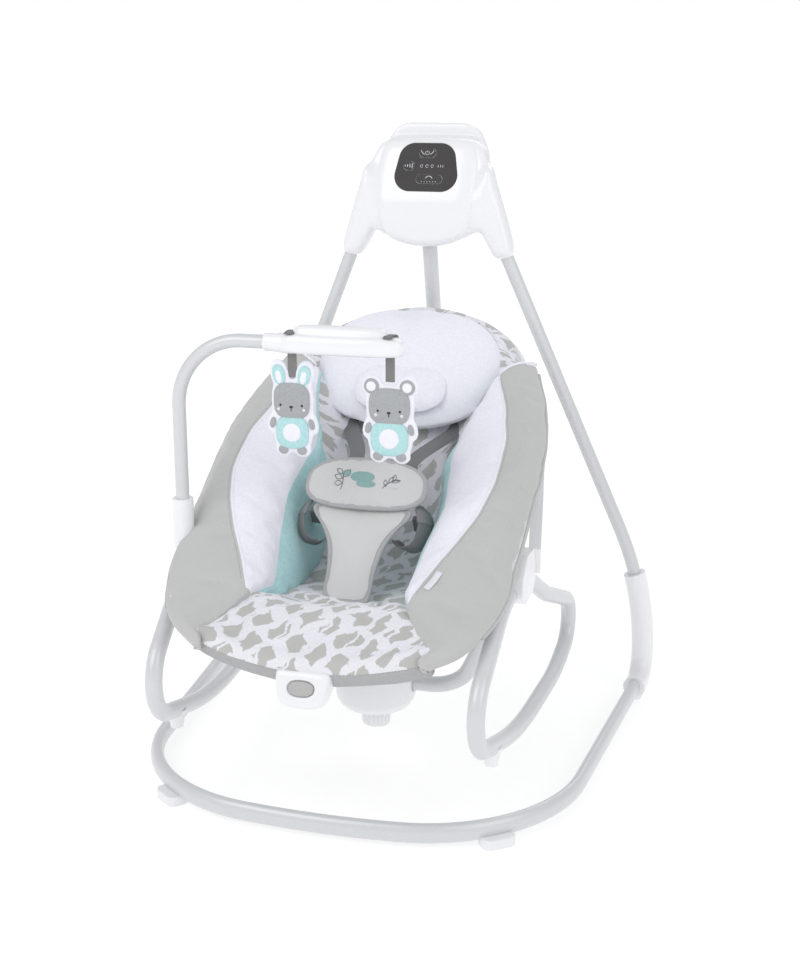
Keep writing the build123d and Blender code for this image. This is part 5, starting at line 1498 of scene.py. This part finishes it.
KNOB_PILE = [(50, 0.80), (51, 0.90), (54, 0.97), (60, 1.0), (83, 1.02), (84.5, 0.98)]
KNOB_HALF, KNOB_RIBS, KNOB_RIB = (22, 19), 18, 1.3
turn = np.linspace(0, 2 * np.pi, KNOB_RIBS * 8, endpoint=False)
ribbed = 1 + KNOB_RIB / KNOB_HALF[0] * np.cos(turn * KNOB_RIBS)
knob = np.array([np.stack([KNOB_HALF[0] * s * ribbed * np.cos(turn),
                           DOCK_Y + KNOB_HALF[1] * s * ribbed * np.sin(turn), np.full(len(turn), z)], -1)
                 for z, s in KNOB_PILE]) / 1000
ends = [(0, DOCK_Y / 1000, KNOB_PILE[0][0] / 1000), (0, DOCK_Y / 1000, KNOB_PILE[-1][0] / 1000)]
knob_cover = build("knob_cover", np.vstack([knob.reshape(-1, 3), ends]),
                   ring_faces(*knob.shape[:2])[0], "release_knob", [white_plastic])
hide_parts("release_knob")

UNIT_PLACE, UNIT_TILT, UNIT_DEPTH = (-390, 258), math.radians(20), 34
UNIT_LINE = [(-37, 26), (37, 26), (40, 20), (38, 0), (31, -22), (14, -27), (-14, -27), (-31, -22), (-38, 0),
             (-40, 20)]
KEY_LINE = [(-19, 11), (19, 11), (18, -10), (-18, -10)]
KEY_SINK, KEY_RISE = 5, 1.6
unit_line, key_line = rounded(UNIT_LINE), rounded(KEY_LINE)


def unit(x, y, z):
    """Points on the vibration unit in metres: y up its face, z out of it."""
    c, s = math.cos(UNIT_TILT), math.sin(UNIT_TILT)
    x, y, z = np.broadcast_arrays(*(np.asarray(v, float) for v in (x, y, z)))
    return np.stack([x, UNIT_PLACE[0] + y * s - z * c, UNIT_PLACE[1] + y * c + z * s], -1) / 1000


def unit_field(x, y, z):
    """The unit's rounded body with a pocket for its key."""
    body = soft_max(outline_distance(unit_line, x, y), np.abs(z + UNIT_DEPTH / 2) - UNIT_DEPTH / 2, 10)
    pocket = np.maximum(outline_distance(key_line, x, y) - 0.8, -KEY_SINK - z)
    return soft_max(body, -pocket, 1.5)


points, faces = surface(unit_field, (-44, -31, -38), (44, 31, 4), 1.8)
points = unit(*(points * 1000).T)
unit_cover = relax(build("vibration_cover", points, faces, "seat", [white_plastic]), 4)
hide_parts("vibration_housing")
key = cushion("vibration_key", even(key_line, 48), 2 * (KEY_SINK + KEY_RISE), lambda x, y, z: unit(
    x, y, np.maximum(z - KEY_SINK, -KEY_SINK)), "vibration_button", [grey_plastic], flat=0.18, rings=10)
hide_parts("vibration_button")
print("dock, knob and unit:", [len(piece.data.polygons) for piece in (dock, knob_cover, unit_cover)], "faces")

# %% [markdown]
# ## Marks on the panel
# The panel's keys carry small white pictograms, printed on the plastic. Each is a thin stroke that
# lies on its key and moves with it: a broken ring with a bar, a row of level bars, and a dial arc with
# dots under it. They are drawn here as short flat bands with a real thickness of a tenth or two.

# %% Marks on the panel
LENS_MID_Z, LENS_LEAN = 911, math.atan(FACE_SLOPE)
mark_paint = finish("mark_paint", mottle, srgb(214, 214, 218), srgb(222, 222, 226), 300, 0.0, 0.6)


def panel(points, proud):
    """Points on the leaning panel in metres, from (across, up) pairs."""
    points = np.asarray(points, float)
    c, s = math.cos(LENS_LEAN), math.sin(LENS_LEAN)
    y = FACE_Y + (LENS_MID_Z - FACE_KNEE) * FACE_SLOPE + points[:, 1] * s - proud * c
    return np.stack([points[:, 0], y, LENS_MID_Z + points[:, 1] * c + proud * s], -1) / 1000


def bar(x, y, width, height):
    """A short upright stroke."""
    return np.array([(x, y - height / 2), (x, y), (x, y + height / 2)]), width


PANEL_FACING = (0, -math.cos(LENS_LEAN), math.sin(LENS_LEAN))
MARKS = {
    "power_button": [(arc(0, 24, 3.2, 120, 420), 0.8), bar(0, 26.6, 0.8, 3.4),
                     (arc(0, 32, 11.5, 200, 246), 1.1), (arc(0, 32, 11.5, 294, 340), 1.1)],
    "sound_button": [bar(-36 + 4 * i, 2, 1.2, 3 + 1.6 * i) for i in range(4)],
    "speed_button": [(arc(6, -21, 6, 20, 160), 1.1)] + [bar(-6 + 4.8 * i, -24.5, 1.3, 1.3) for i in range(6)],
}
MARK_PROUD = 1.35
count = 0
for body, marks in MARKS.items():
    for path, width in marks:
        count += 1
        strip_along(f"{body}_mark_{count}", panel(path, MARK_PROUD), width, 0.3, body, mark_paint, PANEL_FACING,
                    count=24)
LENS_MARKS = [(arc(-8 + 9 * i, 2, 2.2, 0, 330), 0.7) for i in range(3)] + [bar(20 + 4 * i, 2, 0.9, 4) for i in (0, 1, 2)]
for path, width in LENS_MARKS:
    count += 1
    strip_along(f"lens_mark_{count}", panel(path, 0.75), width, 0.3, "stand", mark_paint, PANEL_FACING, count=24)
print("pictogram strokes:", count)
